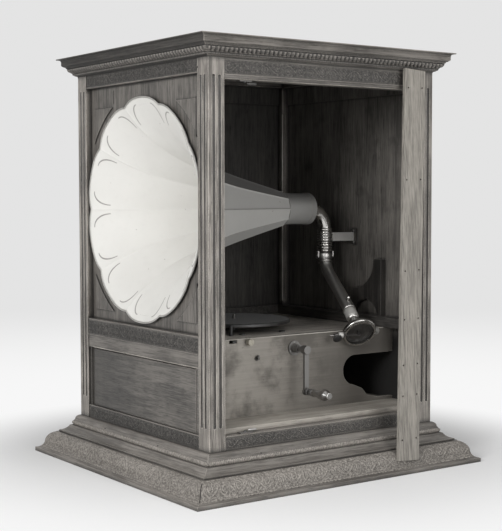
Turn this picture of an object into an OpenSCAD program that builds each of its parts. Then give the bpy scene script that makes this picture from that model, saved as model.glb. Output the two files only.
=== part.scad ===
// Horn gramophone in a carved cabinet with an open side, millimetres, +Z up.
// The origin is the middle of the footprint on the floor. The horn faces -Y, the open side faces +X.

/* [Cabinet body] */
// Width of the body across its front posts
body_w = 542; // [520:2:600]
// Depth of the body from front to back
body_d = 596; // [580:2:640]
// Height of the body between base and cornice
body_h = 780; // [770:2:840]
// Side of the square corner posts
post_s = 38; // [34:1:42]
// Thickness of the rails between the posts
rail_t = 22; // [16:1:26]
// How far the rails lie behind the post faces
rail_back = 1.5; // [0.5:0.5:3]
// Thickness of the plain wall panels
panel_t = 12; // [8:1:14]
// How far the wall panels lie behind the post faces
panel_back = 6; // [4:1:8]
// Height of the bottom rails
sill_h = 30; // [26:1:32]
// Height of the top rails over the sides and the back
top_rail_h = 42; // [36:1:48]
// Height of the top rail over the horn board
front_top_rail_h = 29; // [24:1:34]
// Height of the front middle rail
mid_rail_h = 65; // [55:1:75]
// Underside of the front middle rail above the base
mid_rail_z = 164; // [150:1:170]
// Radius of the flutes in the posts
flute_r = 3.4; // [2.5:0.1:4]
// Distance of the first flute from the outer edge of its post
flute_edge = 13; // [11:0.5:15]
// Distance between the two flutes of a face
flute_pitch = 14; // [12:0.5:15]
// Plain foot of a post below its flutes
flute_foot = 50; // [40:1:60]
// Plain head of a post above its flutes
flute_head = 37; // [30:1:45]

/* [Base and cornice] */
// Height of the base moulding
base_h = 88; // [84:1:96]
// How far the base moulding stands out from the body
base_out = 80; // [76:1:90]
// How far the upper lip of the base stands out
base_lip_out = 38.5; // [36:0.5:42]
// Height of the plain foot of the base
base_plinth_h = 8.7; // [6:0.1:10]
// Radius of the round bead on the base
base_bead_r = 4.5; // [3.5:0.1:5]
// Height of the cornice moulding
cornice_h = 42; // [40:1:48]
// How far the cornice stands out from the body
cornice_out = 37; // [35:1:44]
// Radius of the cornice ovolo that carries the egg pattern
ovolo_r = 8.7; // [7.5:0.1:9.5]
// Thickness of the top board and of the bottom board
board_t = 14; // [10:1:20]

/* [Compartments] */
// Top of the motor board above the base
deck_z = 207.5; // [200:0.5:215]
// Thickness of the motor board
deck_t = 14; // [12:0.5:16]
// Skin left over the lever pocket in the motor board
deck_skin = 3; // [2:0.5:4]
// Outer face of the motor box panel from the middle
box_face_x = 163; // [158:1:166]
// Thickness of the motor box panel
box_t = 12; // [10:1:14]
// Thickness of the compartment floor
floor_t = 10.5; // [8:0.5:12]
// Step between the side face of the body and the floor edge
floor_step = 17; // [14:1:20]
// Height of the wall rail above the motor board
wall_rail_h = 22; // [18:1:26]
// How far the back wall rail stands in front of the posts
wall_rail_proud = 9; // [6:1:12]
// Radius of the round end of the large cut-out
cutout_r = 34; // [30:1:36]
// Middle of that round end from the middle of the cabinet
cutout_y = 167; // [160:1:172]
// Middle of that round end above the base
cutout_z = 116; // [112:1:120]

/* [Horn] */
// Number of petals
petals = 10; // [10:2:12]
// How far the petal tips lap over the corner posts
petal_lap = 4.5; // [0:0.5:5]
// Radius of the throat
throat_r = 37; // [35:0.5:40]
// Share of the flare that is a plain cone
cone_rise = 92; // [85:1:100]
// Depth of the body that is left for the collar, the elbow and the arm
behind_horn = 225; // [221:1:240]
// Thickness of the sheet
sheet_t = 1.2; // [1:0.1:1.6]
// Extra thickness of the rolled rim
rim_roll = 2.4; // [1.5:0.1:3]
// How far the petal tips lie behind the post faces
mouth_back = 5.5; // [4:0.5:8]
// Height of the horn axis above the base
horn_z = 478; // [474:1:482]
// Distance of the horn board behind the post faces
horn_board_back = 14; // [12:1:16]
// Thickness of the horn board
horn_board_t = 10; // [8:1:12]
// How far the petals cover the edge of the opening in the horn board
petal_cover = 11.5; // [10:0.5:15]
// Length of the turned collar behind the throat
collar_l = 82; // [78:1:86]
// Wall of the collar
collar_t = 2; // [1.5:0.1:2.5]

/* [Elbow and tone arm] */
// Radius of the elbow pipe
pipe_r = 15; // [14:0.1:16]
// Wall of the elbow pipe and of the tone arm
pipe_wall = 1.4; // [1:0.1:2]
// Bend radius of the elbow
elbow_r = 48; // [44:1:50]
// Height of the arm's ball joint above the base
knuckle_z = 366; // [364:1:368]
// Length of the straight pipe above the ball joint
spigot_l = 24; // [22:1:28]
// Radius of the ball at the top of the tone arm
ball_r = 17.5; // [17:0.1:18.5]
// Radius of the tone arm tube
arm_r = 13.6; // [12.5:0.1:14]
// Heading of the arm at rest, turned from the open side towards the front
arm_heading = 17; // [15:0.5:20]
// Slope of the long tube below the horizontal
arm_slope = 31; // [30:0.5:33]
// Slope of the end of the arm below the horizontal
end_slope = 38.5; // [38:0.5:41]
// Length of the long straight tube
arm_run = 133; // [128:1:136]
// Length of the end collar
end_collar_l = 38; // [32:1:40]
// Radius of the soundbox
box_r = 39; // [36:0.5:40]
// Depth of the soundbox
box_depth = 20; // [18:0.5:21]
// Radius of the soundbox diaphragm
diaphragm_r = 32.5; // [29:0.5:33]
// Distance of the needle screw from the middle of the soundbox
needle_reach = 58; // [55:0.5:59]

/* [Turntable and motor] */
// Radius of the turntable
platter_r = 126; // [124:1:128]
// Top of the turntable felt above the base
platter_z = 232; // [230:0.5:236]
// Thickness of the turntable plate
platter_t = 7; // [6:0.5:8]
// Distance of the spindle in front of the middle
spindle_y = 51.5; // [48:0.5:54]
// Radius of the spindle
spindle_r = 5; // [4.5:0.1:5.5]
// Gear module of the spring barrel and its pinion
gear_module = 1.6; // [1.5:0.05:1.6]
// Teeth of the spindle pinion
pinion_teeth = 14; // [13:1:15]
// Teeth of the spring barrel
barrel_teeth = 64; // [60:1:64]
// Radius of the spring barrel drum
drum_r = 36; // [32:1:36]
// Height of the spring barrel drum
drum_h = 36; // [30:1:38]
// Thickness of the motor plates
plate_t = 4; // [3:0.5:5]
// Radius of the governor wheel on the spindle
governor_wheel_r = 23; // [20:0.5:24]
// Teeth of the governor wheel
governor_wheel_teeth = 48; // [40:2:56]
// Radius of the governor worm
worm_r = 4.5; // [4:0.1:5]
// Teeth of the winding wheel
winding_teeth = 32; // [28:2:36]

/* [Crank and controls] */
// Height of the crank shaft above the base
crank_z = 178; // [177:0.5:179]
// Distance of the crank shaft in front of the middle
crank_y = 6; // [4:0.5:8]
// Radius of the crank shaft
crank_r = 5; // [4.5:0.1:5.5]
// Distance of the crank arm from the motor box panel
crank_stand = 40; // [38:1:44]
// Throw of the crank
crank_throw = 90; // [84:1:94]
// Length of the crank grip with its ferrule
grip_l = 76; // [70:1:80]
// Radius of the crank grip
grip_r = 9.5; // [8:0.5:11]
// Running clearance between a shaft and its bore
run_gap = 0.05; // [0.03:0.01:0.08]
// Air gap between neighbouring curved faces
air_gap = 0.3; // [0.3:0.05:0.4]

/* [Loose strip] */
// Width of the strip that leans on the back post
strip_w = 58; // [54:1:62]
// Thickness of the strip
strip_t = 8; // [6:0.5:10]
// Length of the strip
strip_l = 846; // [840:1:850]
// Diameter of its nail holes
nail_hole_d = 4; // [3:0.5:5]

/* [Hidden] */
$fn = 64;

half_w = body_w / 2;
half_d = body_d / 2;
body_top = base_h + body_h;
bay_w = body_w - 2 * post_s;
bay_d = body_d - 2 * post_s;
mouth_r = bay_w / 2 + petal_lap;
bell_l = body_d - behind_horn;
horn_hole_r = mouth_r - petal_cover;
eps = 0.01;
wood = [0.30, 0.25, 0.20];
dark_wood = [0.20, 0.17, 0.14];
pale_wood = [0.62, 0.58, 0.52];
plated = [0.72, 0.71, 0.68];
steel = [0.55, 0.55, 0.55];
black = [0.08, 0.08, 0.08];
ivory = [0.92, 0.91, 0.87];

// Points of an arc round centre c, from angle a0 to a1.
function arc(c, r, a0, a1, n = 8) =
  [for (i = [0:n]) c + r * [cos(a0 + (a1 - a0) * i / n), sin(a0 + (a1 - a0) * i / n)]];

// Base profile: x is the overhang, y the height below the top of the base.
ogee_high_r = 25;
ogee_low_r = 17;
ogee_join = 5;
ogee_low = [base_out, -base_h + base_plinth_h + ogee_low_r];
ogee_high = ogee_low - (ogee_high_r + ogee_low_r) * [cos(ogee_join), sin(ogee_join)];
base_round_r = 10;
bead_mid = [11.5, -18.5];
cove_r = 22.7;
cove_mid = [base_lip_out + 1.5, -14];
base_lip_z = 40;
base_foot_w = 22;
base_ledge_h = 30;
function base_outer() = concat(
  arc([0.5, -base_round_r], base_round_r, 90, 0, 6),
  arc(bead_mid, base_bead_r, 60, -60, 6),
  arc(cove_mid, cove_r, 208, 266, 6),
  [[base_lip_out, -base_lip_z], [base_lip_out - 4, -base_lip_z - 0.5]],
  arc(ogee_high, ogee_high_r, 82, ogee_join, 7),
  arc(ogee_low, ogee_low_r, 180 + ogee_join, 262, 6),
  [[base_out, -base_h + base_plinth_h], [base_out, -base_h]]);
function base_profile() = concat(
  [[-post_s, 0]],
  base_outer(),
  [[base_out - base_foot_w, -base_h], [-post_s + base_foot_w, -base_ledge_h], [-post_s, -base_ledge_h]]);

// Cornice profile: x is the overhang, y the height above the body.
astragal_r = 2.6;
astragal_mid = [6.9, 7];
ovolo_low = [10, 10.4];
cavetto_r = 3.4;
cavetto_at = ovolo_low + [ovolo_r + 1.5, ovolo_r + 0.9];
torus_r = 3.8;
torus_mid = cavetto_at + [cavetto_r + 1, cavetto_r + 1.2 + torus_r];
fascia_out = torus_mid[0] + torus_r;
fascia_top = 34.5;
cornice_cap_h = 2.2;
crown_r = cornice_h - cornice_cap_h - fascia_top;
function cornice_outer() = concat(
  [[0.8, 0], [0.8, 1.5], [4.8, 2.6]],
  arc(astragal_mid, astragal_r, -80, 80, 6),
  [[ovolo_low[0] - 1.4, ovolo_low[1]]],
  arc(ovolo_low + [0, ovolo_r], ovolo_r, -90, 0, 7),
  [cavetto_at - [1.5, 0]],
  arc(cavetto_at + [cavetto_r, 0], cavetto_r, 180, 90, 4),
  [torus_mid - [0, torus_r + 1.2]],
  arc(torus_mid, torus_r, -90, 0, 5),
  arc([fascia_out + crown_r, fascia_top], crown_r, 180, 90, 5),
  [[cornice_out, cornice_h - cornice_cap_h], [cornice_out, cornice_h]]);
function cornice_profile() = concat([[-post_s, 0]], cornice_outer(), [[-post_s, cornice_h]]);

// One mitred side of a moulding that runs round the body, facing -Y.
module moulding_side(points, half_run, half_away, out) {
  intersection() {
    translate([0, -half_away, 0])
      rotate([90, 0, 90])
        linear_extrude(2 * (half_run + out), center = true)
          polygon([for (p = points) [-p[0], p[1]]]);
    translate([0, 0, -base_h - 1])
      linear_extrude(base_h + cornice_h + 2)
        polygon([
          [-half_run - out, -half_away - out], [half_run + out, -half_away - out],
          [half_run - post_s, -half_away + post_s], [-half_run + post_s, -half_away + post_s]]);
  }
}

module base_side(turn, half_run, half_away) {
  color(wood) translate([0, 0, base_h]) rotate([0, 0, turn])
    moulding_side(base_profile(), half_run, half_away, base_out);
}
module base_front() { base_side(0, half_w, half_d); }
module base_right() { base_side(90, half_d, half_w); }
module base_back() { base_side(180, half_w, half_d); }
module base_left() { base_side(270, half_d, half_w); }

module cornice_side(turn, half_run, half_away) {
  color(wood) translate([0, 0, body_top]) rotate([0, 0, turn])
    moulding_side(cornice_profile(), half_run, half_away, cornice_out);
}
module cornice_front() { cornice_side(0, half_w, half_d); }
module cornice_right() { cornice_side(90, half_d, half_w); }
module cornice_back() { cornice_side(180, half_w, half_d); }
module cornice_left() { cornice_side(270, half_d, half_w); }

// A board of the size of the bay between the posts, its underside at z.
module bay_board(z) {
  translate([-bay_w / 2, -bay_d / 2, z]) cube([bay_w, bay_d, board_t]);
}
module bottom_board() { color(dark_wood) bay_board(base_h - board_t); }
module top_board() { color(wood) bay_board(body_top + cornice_h - board_t); }

// Stopped flute on a post face.
module flute() {
  z0 = base_h + flute_foot;
  z1 = body_top - flute_head;
  translate([0, 0, z0]) cylinder(r = flute_r, h = z1 - z0);
  translate([0, 0, z0]) sphere(r = flute_r);
  translate([0, 0, z1]) sphere(r = flute_r);
}
module post(sx, sy) {
  color(wood) translate([sx * half_w, sy * half_d, 0]) difference() {
    translate([sx > 0 ? -post_s : 0, sy > 0 ? -post_s : 0, base_h]) cube([post_s, post_s, body_h]);
    for (i = [0, 1]) {
      translate([-sx * (flute_edge + i * flute_pitch), 0, 0]) flute();
      translate([0, -sy * (flute_edge + i * flute_pitch), 0]) flute();
    }
  }
}
module post_front_left() { post(-1, -1); }
module post_front_right() { post(1, -1); }
module post_back_left() { post(-1, 1); }
module post_back_right() { post(1, 1); }

// Rails lie between the posts. The front ones run along X, the side ones along Y.
module front_rail(z, h) {
  translate([-bay_w / 2, -half_d + rail_back, base_h + z]) cube([bay_w, rail_t, h]);
}
module side_rail(side, z, h) {
  translate([side > 0 ? half_w - rail_back - rail_t : -half_w + rail_back, -bay_d / 2, base_h + z])
    cube([rail_t, bay_d, h]);
}
module front_top_rail() { color(wood) front_rail(body_h - front_top_rail_h, front_top_rail_h); }
module front_mid_rail() { color(wood) front_rail(mid_rail_z, mid_rail_h); }
module front_bottom_rail() { color(wood) front_rail(0, sill_h); }

// Catches for the lift-off side panel, one in the top rail and one in the sill.
catch_y = -206;
catch_x = half_w - floor_step / 2;
plunger_r = 3.5;
plunger_l = 14;
plunger_travel = 3;
catch_plate_l = 30;
catch_plate_w = 12;
catch_plate_t = 2;
catch_top_z = base_h + body_h - top_rail_h;
catch_bottom_z = base_h + sill_h;
module plunger_bore(z) {
  translate([catch_x, catch_y, z]) cylinder(r = plunger_r + run_gap, h = plunger_l + plunger_travel + 1);
}
module side_top_rail() {
  color(wood) difference() {
    side_rail(1, body_h - top_rail_h, top_rail_h);
    plunger_bore(catch_top_z - eps);
  }
}
module side_sill() {
  color(wood) difference() {
    side_rail(1, 0, sill_h);
    plunger_bore(catch_bottom_z - plunger_l - plunger_travel - 1 + eps);
  }
}
module catch_plate(z) {
  difference() {
    translate([catch_x - catch_plate_w / 2, catch_y - catch_plate_l / 2, z])
      cube([catch_plate_w, catch_plate_l, catch_plate_t]);
    translate([catch_x, catch_y, z - 1]) cylinder(r = plunger_r + air_gap, h = catch_plate_t + 2);
  }
}
module panel_catches() {
  color(plated) {
    catch_plate(catch_top_z - catch_plate_t);
    catch_plate(catch_bottom_z);
  }
}
// Round-nosed plunger. It stands out of its bore by its nose and the plate.
module plunger() {
  nose = plunger_travel + catch_plate_t + 0.5;
  translate([0, 0, nose - plunger_r]) sphere(r = plunger_r);
  translate([0, 0, nose - plunger_l]) cylinder(r = plunger_r, h = plunger_l - plunger_r);
}
module catch_plunger_top() {
  color(black) translate([catch_x, catch_y, catch_top_z]) mirror([0, 0, 1]) plunger();
}
module catch_plunger_bottom() {
  color(black) translate([catch_x, catch_y, catch_bottom_z]) plunger();
}

// Closed walls: a panel with its top and bottom rails.
module back_wall() {
  color(dark_wood) {
    rotate([0, 0, 180]) front_rail(0, sill_h);
    rotate([0, 0, 180]) front_rail(body_h - top_rail_h, top_rail_h);
    translate([-bay_w / 2, half_d - panel_back - panel_t, base_h + sill_h])
      cube([bay_w, panel_t, body_h - sill_h - top_rail_h]);
  }
}
module left_wall() {
  color(dark_wood) {
    side_rail(-1, 0, sill_h);
    side_rail(-1, body_h - top_rail_h, top_rail_h);
    translate([-half_w + panel_back, -bay_d / 2, base_h + sill_h])
      cube([panel_t, bay_d, body_h - sill_h - top_rail_h]);
  }
}
left_inner = -half_w + panel_back + panel_t;
back_inner = half_d - panel_back - panel_t;
front_inner = -half_d + horn_board_back + horn_board_t;
rail_inner = -half_d + rail_back + rail_t;
horn_axis_z = base_h + horn_z;

module horn_board() {
  z0 = mid_rail_z + mid_rail_h;
  color(wood) difference() {
    translate([-bay_w / 2, -half_d + horn_board_back, base_h + z0])
      cube([bay_w, horn_board_t, body_h - front_top_rail_h - z0]);
    translate([0, front_inner + 1, horn_axis_z]) rotate([90, 0, 0]) cylinder(r = horn_hole_r, h = horn_board_t + 2);
  }
}
lower_panel_back = 9;
module front_lower_panel() {
  color(wood) translate([-bay_w / 2, -half_d + lower_panel_back, base_h + sill_h])
    cube([bay_w, horn_board_t, mid_rail_z - sill_h]);
}

// Motor board with spindle hole, lever pocket and pad slot, notched round the posts.
deck_under = base_h + deck_z - deck_t;
deck_top = base_h + deck_z;
box_inner_x = box_face_x - box_t;
post_clear = 0.2;
spindle_hole_r = 9;
lever_pivot = [box_face_x - 32, -160];
lever_rise = 7.5;
lever_z = deck_under + lever_rise;
lever_t = 3;
lever_w = 9;
slot_y = -166;
slot_w = 21;
slot_h = 7;
pad_at = lever_pivot + [-27, 29];
pocket_size = [80, 76];
pocket_at = lever_pivot + [-42, -30];
pad_slot = [16, 17];
pad_slot_at = pad_at - [9, 9];
module motor_board() {
  color(dark_wood) difference() {
    translate([left_inner, rail_inner, deck_under])
      cube([box_inner_x - left_inner, back_inner - rail_inner, deck_t]);
    for (sy = [-1, 1])
      translate([-half_w, sy > 0 ? half_d - post_s - post_clear : -half_d, deck_under - 1])
        cube([post_s + post_clear, post_s + post_clear, deck_t + 2]);
    translate([0, -spindle_y, deck_under - 1]) cylinder(r = spindle_hole_r, h = deck_t + 2);
    translate([pocket_at[0], pocket_at[1], deck_under - 1])
      cube([pocket_size[0], pocket_size[1], deck_t - deck_skin + 1]);
    translate([pad_slot_at[0], pad_slot_at[1], deck_under - 1]) cube([pad_slot[0], pad_slot[1], deck_t + 2]);
    for (p = motor_posts) translate([p[0], p[1], deck_under - 1]) cylinder(r = motor_bolt_r + air_gap, h = deck_t + 2);
  }
}

// Motor box panel: crank hole, lever slot, knob hole, hook hole and the large cut-out.
knob_y = -130;
knob_z = deck_top - 7.5;
knob_stem_r = 3;
hook_y = -106;
hook_z = deck_top - 45;
hook_r = 2.5;
crank_axis_z = base_h + crank_z;
bush_r = 11;
box_low = base_h + sill_h + floor_t;
module cutout_outline() {
  translate([cutout_y, cutout_z]) circle(r = cutout_r);
  translate([cutout_y, cutout_z - cutout_r]) square([back_inner - cutout_y + 1, 2 * cutout_r]);
  polygon([
    [cutout_y - 18, cutout_z - cutout_r + 6], [cutout_y + 22, cutout_z - 44], [cutout_y + 36, cutout_z - 60],
    [cutout_y + 64, cutout_z - 67], [back_inner + 1, cutout_z - 69], [back_inner + 1, cutout_z]]);
}
module box_bore(y, z, r) {
  translate([box_inner_x - 1, y, z]) rotate([0, 90, 0]) cylinder(r = r, h = box_t + 2);
}
module motor_box_panel() {
  color(pale_wood) difference() {
    translate([box_inner_x, rail_inner, box_low]) cube([box_t, back_inner - rail_inner, deck_top - box_low]);
    translate([box_inner_x - 1, 0, base_h]) rotate([90, 0, 90]) linear_extrude(box_t + 2) cutout_outline();
    box_bore(-crank_y, crank_axis_z, bush_r);
    box_bore(knob_y, knob_z, knob_stem_r + run_gap);
    box_bore(hook_y, hook_z, hook_r + run_gap);
    translate([box_inner_x - 1, slot_y - slot_w / 2, lever_z - 2.5])
      cube([box_t + 2, slot_w, slot_h]);
  }
}

module compartment_floor() {
  x0 = left_inner;
  x1 = half_w - floor_step;
  y0 = -half_d + lower_panel_back + horn_board_t;
  color(pale_wood) difference() {
    translate([x0, y0, base_h + sill_h]) cube([x1 - x0, back_inner - y0, floor_t]);
    for (sx = [-1, 1], sy = [-1, 1])
      translate([
        sx > 0 ? half_w - post_s - post_clear : -half_w,
        sy > 0 ? half_d - post_s - post_clear : -half_d, base_h + sill_h - 1])
        cube([post_s + post_clear, post_s + post_clear, floor_t + 2]);
  }
}

// Rails on the back and left walls just above the motor board.
module wall_rails() {
  x1 = half_w - post_s;
  color(dark_wood) translate([0, 0, deck_top]) {
    translate([left_inner, half_d - post_s - wall_rail_proud, 0]) cube([x1 - left_inner, wall_rail_proud, wall_rail_h]);
    translate([-x1, half_d - post_s - eps, 0]) cube([2 * x1, back_inner - half_d + post_s + eps, wall_rail_h]);
    translate([left_inner, -bay_d / 2, 0]) cube([wall_rail_proud + 3, bay_d - wall_rail_proud + eps, wall_rail_h]);
  }
}

// Dark board on the back wall with a long concave curve above and an arch below.
cradle_x0 = 38;
cradle_x1 = 138;
cradle_limb_w = 26;
cradle_arm_z = 290;
cradle_top_z = 361;
cradle_t = 14;
arch_rx = 44;
arch_rise = 36;
cradle_low = deck_top + wall_rail_h;
module cradle_board() {
  color(black) translate([0, back_inner, 0]) rotate([90, 0, 0]) linear_extrude(cradle_t) difference() {
    translate([cradle_x0, cradle_low]) square([cradle_x1 - cradle_x0, base_h + cradle_top_z - cradle_low]);
    curve_r = cradle_top_z - cradle_arm_z;
    translate([cradle_x1 - cradle_limb_w - curve_r, base_h + cradle_top_z]) circle(r = curve_r);
    translate([cradle_x0 - 1, base_h + cradle_arm_z])
      square([cradle_x1 - cradle_limb_w - curve_r - cradle_x0 + 1, curve_r + 1]);
    translate([cradle_x0 + arch_rx, cradle_low - 8]) circle(r = arch_rx);
  }
}

// Strip that leans with its head under the cornice and its foot on the base moulding.
strip_foot_x = half_w + 61;
strip_foot_z = base_h - 61;
strip_head_x = half_w + astragal_mid[0] + astragal_r;
strip_foot_y = 169;
strip_head_y = 230;
strip_lean_gap = air_gap + 1.2;
strip_tip_out = atan2(strip_foot_x - strip_head_x, strip_l);
strip_tip_side = atan2(strip_head_y - strip_foot_y, strip_l);
nail_pairs = [40, 240, 437, 542, 640, 706, 800];
nail_inset = 9;
module loose_strip() {
  color(pale_wood)
    translate([strip_foot_x + strip_lean_gap, strip_foot_y, strip_foot_z])
      rotate([-strip_tip_side, -strip_tip_out, 0])
        difference() {
          translate([0, -strip_w / 2, 0]) cube([strip_t, strip_w, strip_l]);
          for (z = nail_pairs, s = [-1, 1])
            translate([-1, s * (strip_w / 2 - nail_inset), strip_l - z + s * 2]) rotate([0, 90, 0])
              cylinder(d = nail_hole_d, h = strip_t + 2);
        }
}

// Bell of the horn. A petal is a sheet between two seams: s runs from throat to rim, f across it.
bell_rows = 12;
petal_cols = 6;
petal_half = 180 / petals;
seam_gap = 0.05;
flare_power = 5.5;
notch_depth = 0.01;
notch_cut = 0.05;
lobes_from = 0.6;
mouth_y = -half_d + mouth_back;
throat_y = mouth_y + bell_l;
function row_s(i) = 1 - pow(1 - i / bell_rows, 1.5);
// Flat facets at the throat, rounded lobes with notches between them at the rim.
function notch(f) = 1 - cos(90 * f);
function opened(s) = let (u = max(0, (s - lobes_from) / (1 - lobes_from))) u * u * (3 - 2 * u);
function spread(s, f) = (1 - opened(s)) / cos(petal_half * f) + opened(s) * (1 - notch_cut * notch(f));
function bell_t(s, f) = s * (1 - notch_depth * opened(s) * notch(f));
function bell_r(t) = throat_r + cone_rise * t + (mouth_r - throat_r - cone_rise) * pow(t, flare_power);
function bell_dr(t) = cone_rise + (mouth_r - throat_r - cone_rise) * flare_power * pow(t, flare_power - 1);
function sheet_half(i) = (sheet_t + (i == bell_rows ? rim_roll : i == bell_rows - 1 ? rim_roll / 4 : 0)) / 2;
function petal_point(i, f, side, centre) =
  let (s = row_s(i), t = bell_t(s, f), dr = bell_dr(t), n = norm([bell_l, dr]), h = side * sheet_half(i),
    r = bell_r(t) * spread(s, f) + h * bell_l / n,
    a = centre + f * (petal_half - seam_gap))
  [r * cos(a), throat_y - bell_l * t + h * dr / n, horn_axis_z + r * sin(a)];
module petal(centre) {
  cols = petal_cols + 1;
  rows = bell_rows + 1;
  pts = [for (side = [1, -1], i = [0:bell_rows], j = [0:petal_cols])
    petal_point(i, 2 * j / petal_cols - 1, side, centre)];
  function at(side, i, j) = side * rows * cols + i * cols + j;
  skins = [for (i = [0:bell_rows - 1], j = [0:petal_cols - 1]) each [
    [at(0, i, j), at(0, i, j + 1), at(0, i + 1, j + 1)], [at(0, i, j), at(0, i + 1, j + 1), at(0, i + 1, j)],
    [at(1, i, j), at(1, i + 1, j + 1), at(1, i, j + 1)], [at(1, i, j), at(1, i + 1, j), at(1, i + 1, j + 1)]]];
  ends = [for (j = [0:petal_cols - 1]) each [
    [at(0, 0, j), at(1, 0, j + 1), at(0, 0, j + 1)], [at(0, 0, j), at(1, 0, j), at(1, 0, j + 1)],
    [at(0, bell_rows, j), at(0, bell_rows, j + 1), at(1, bell_rows, j + 1)],
    [at(0, bell_rows, j), at(1, bell_rows, j + 1), at(1, bell_rows, j)]]];
  seams = [for (i = [0:bell_rows - 1]) each [
    [at(0, i, 0), at(0, i + 1, 0), at(1, i + 1, 0)], [at(0, i, 0), at(1, i + 1, 0), at(1, i, 0)],
    [at(0, i, petal_cols), at(1, i + 1, petal_cols), at(0, i + 1, petal_cols)],
    [at(0, i, petal_cols), at(1, i, petal_cols), at(1, i + 1, petal_cols)]]];
  polyhedron(points = pts, faces = concat(skins, ends, seams), convexity = 6);
}
module horn_petals() {
  color(ivory) for (k = [0:petals - 1]) petal((k + 0.5) * 2 * petal_half);
}

// Turned collar: spigot inside the throat, stop bead and rounded end.
collar_r = throat_r - sheet_t / 2 - air_gap;
collar_spigot = 10;
collar_bead = 3;
collar_end_l = 14;
module along_horn(y) {
  translate([0, y, horn_axis_z]) rotate([-90, 0, 0]) children();
}
module horn_collar() {
  bead_r = collar_r + 2.4;
  color(ivory) along_horn(throat_y) rotate_extrude() difference() {
    union() {
      translate([0, -collar_spigot]) square([collar_r, collar_spigot + collar_l - 2]);
      translate([0, air_gap + 0.7]) square([bead_r - 1.5, collar_bead]);
      translate([bead_r - 1.5, air_gap + 0.7 + collar_bead / 2]) circle(r = collar_bead / 2);
      translate([0, collar_l - collar_end_l]) square([collar_r + 1, collar_end_l - 2]);
      translate([0, collar_l - 4]) square([collar_r - 3, 4]);
      translate([collar_r - 3, collar_l - 4]) circle(r = 4);
    }
    translate([-1, -collar_spigot - 1]) square([collar_r - collar_t + 1, collar_l + collar_spigot + 2]);
  }
}

// Elbow: flange inside the collar, quarter bend, straight leg, stop ring and spigot.
collar_bore = collar_r - collar_t;
elbow_start_y = throat_y + collar_l + 2;
swivel_y = elbow_start_y + elbow_r;
knuckle = [0, swivel_y, base_h + knuckle_z];
spigot_r = pipe_r - 1.5;
swivel_top_z = base_h + knuckle_z + spigot_l;
spigot_end = ball_r + air_gap;
flange_t = 5;
module tube(r, wall, l) {
  difference() {
    cylinder(r = r, h = l);
    translate([0, 0, -1]) cylinder(r = r - wall, h = l + 2);
  }
}
module ring(r, bore, l) {
  difference() {
    rotate_extrude($fn = 48) {
      square([r - l / 2, l]);
      translate([r - l / 2, l / 2]) circle(r = l / 2, $fn = 16);
    }
    translate([0, 0, -1]) cylinder(r = bore, h = l + 2);
  }
}
module horn_elbow() {
  leg = horn_axis_z - elbow_r - swivel_top_z;
  color(plated) {
    translate([0, elbow_start_y, horn_axis_z]) rotate([90, 0, 0]) tube(pipe_r, pipe_wall, 20);
    along_horn(elbow_start_y - 20) difference() {
      cylinder(r = collar_bore - air_gap, h = flange_t);
      translate([0, 0, -1]) cylinder(r = pipe_r - pipe_wall, h = flange_t + 2);
    }
    translate([0, elbow_start_y, horn_axis_z - elbow_r]) rotate([0, 90, 0]) rotate([0, 0, 90])
      rotate_extrude(angle = 90) translate([elbow_r, 0]) difference() {
        circle(r = pipe_r);
        circle(r = pipe_r - pipe_wall);
      }
    translate([0, swivel_y, swivel_top_z]) tube(pipe_r, pipe_wall, leg);
    translate([0, swivel_y, swivel_top_z + 0.4]) ring(pipe_r + 3, pipe_r - 0.5, 5);
    translate([0, swivel_y, swivel_top_z]) tube(pipe_r, pipe_r - spigot_r + pipe_wall, 3);
    translate([0, swivel_y, knuckle[2] + spigot_end]) tube(spigot_r, pipe_wall, spigot_l - spigot_end + 1);
  }
}

// Bracket: clamp band round the elbow leg, arm and wall plate.
bracket_z = swivel_top_z + 21;
band_h = 20;
band_t = 2.5;
bracket_arm_t = 6;
plate_x = 26;
wall_plate_w = 20;
wall_plate_h = 38;
wall_plate_t = 3;
plate_screw_r = 2;
plate_screw_at = 14;
module elbow_bracket() {
  run = [plate_x, back_inner - swivel_y];
  turn = atan2(-run[0], run[1]);
  color(steel) {
    translate([0, swivel_y, bracket_z - band_h / 2]) tube(pipe_r + band_t + air_gap, band_t, band_h);
    intersection() {
      translate([0, swivel_y, bracket_z - band_h / 2]) rotate([0, 0, turn])
        translate([-bracket_arm_t / 2, pipe_r + band_t - 0.5, 0]) cube([bracket_arm_t, norm(run), band_h]);
      translate([-60, 0, 0]) cube([200, back_inner - 1, body_top]);
    }
    difference() {
      translate([plate_x - wall_plate_w / 2, back_inner - wall_plate_t, bracket_z - wall_plate_h / 2])
        cube([wall_plate_w, wall_plate_t, wall_plate_h]);
      for (s = [-1, 1]) translate([plate_x, back_inner + 1, bracket_z + s * plate_screw_at]) rotate([90, 0, 0])
        cylinder(r = plate_screw_r, h = wall_plate_t + 2);
    }
  }
}

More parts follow.
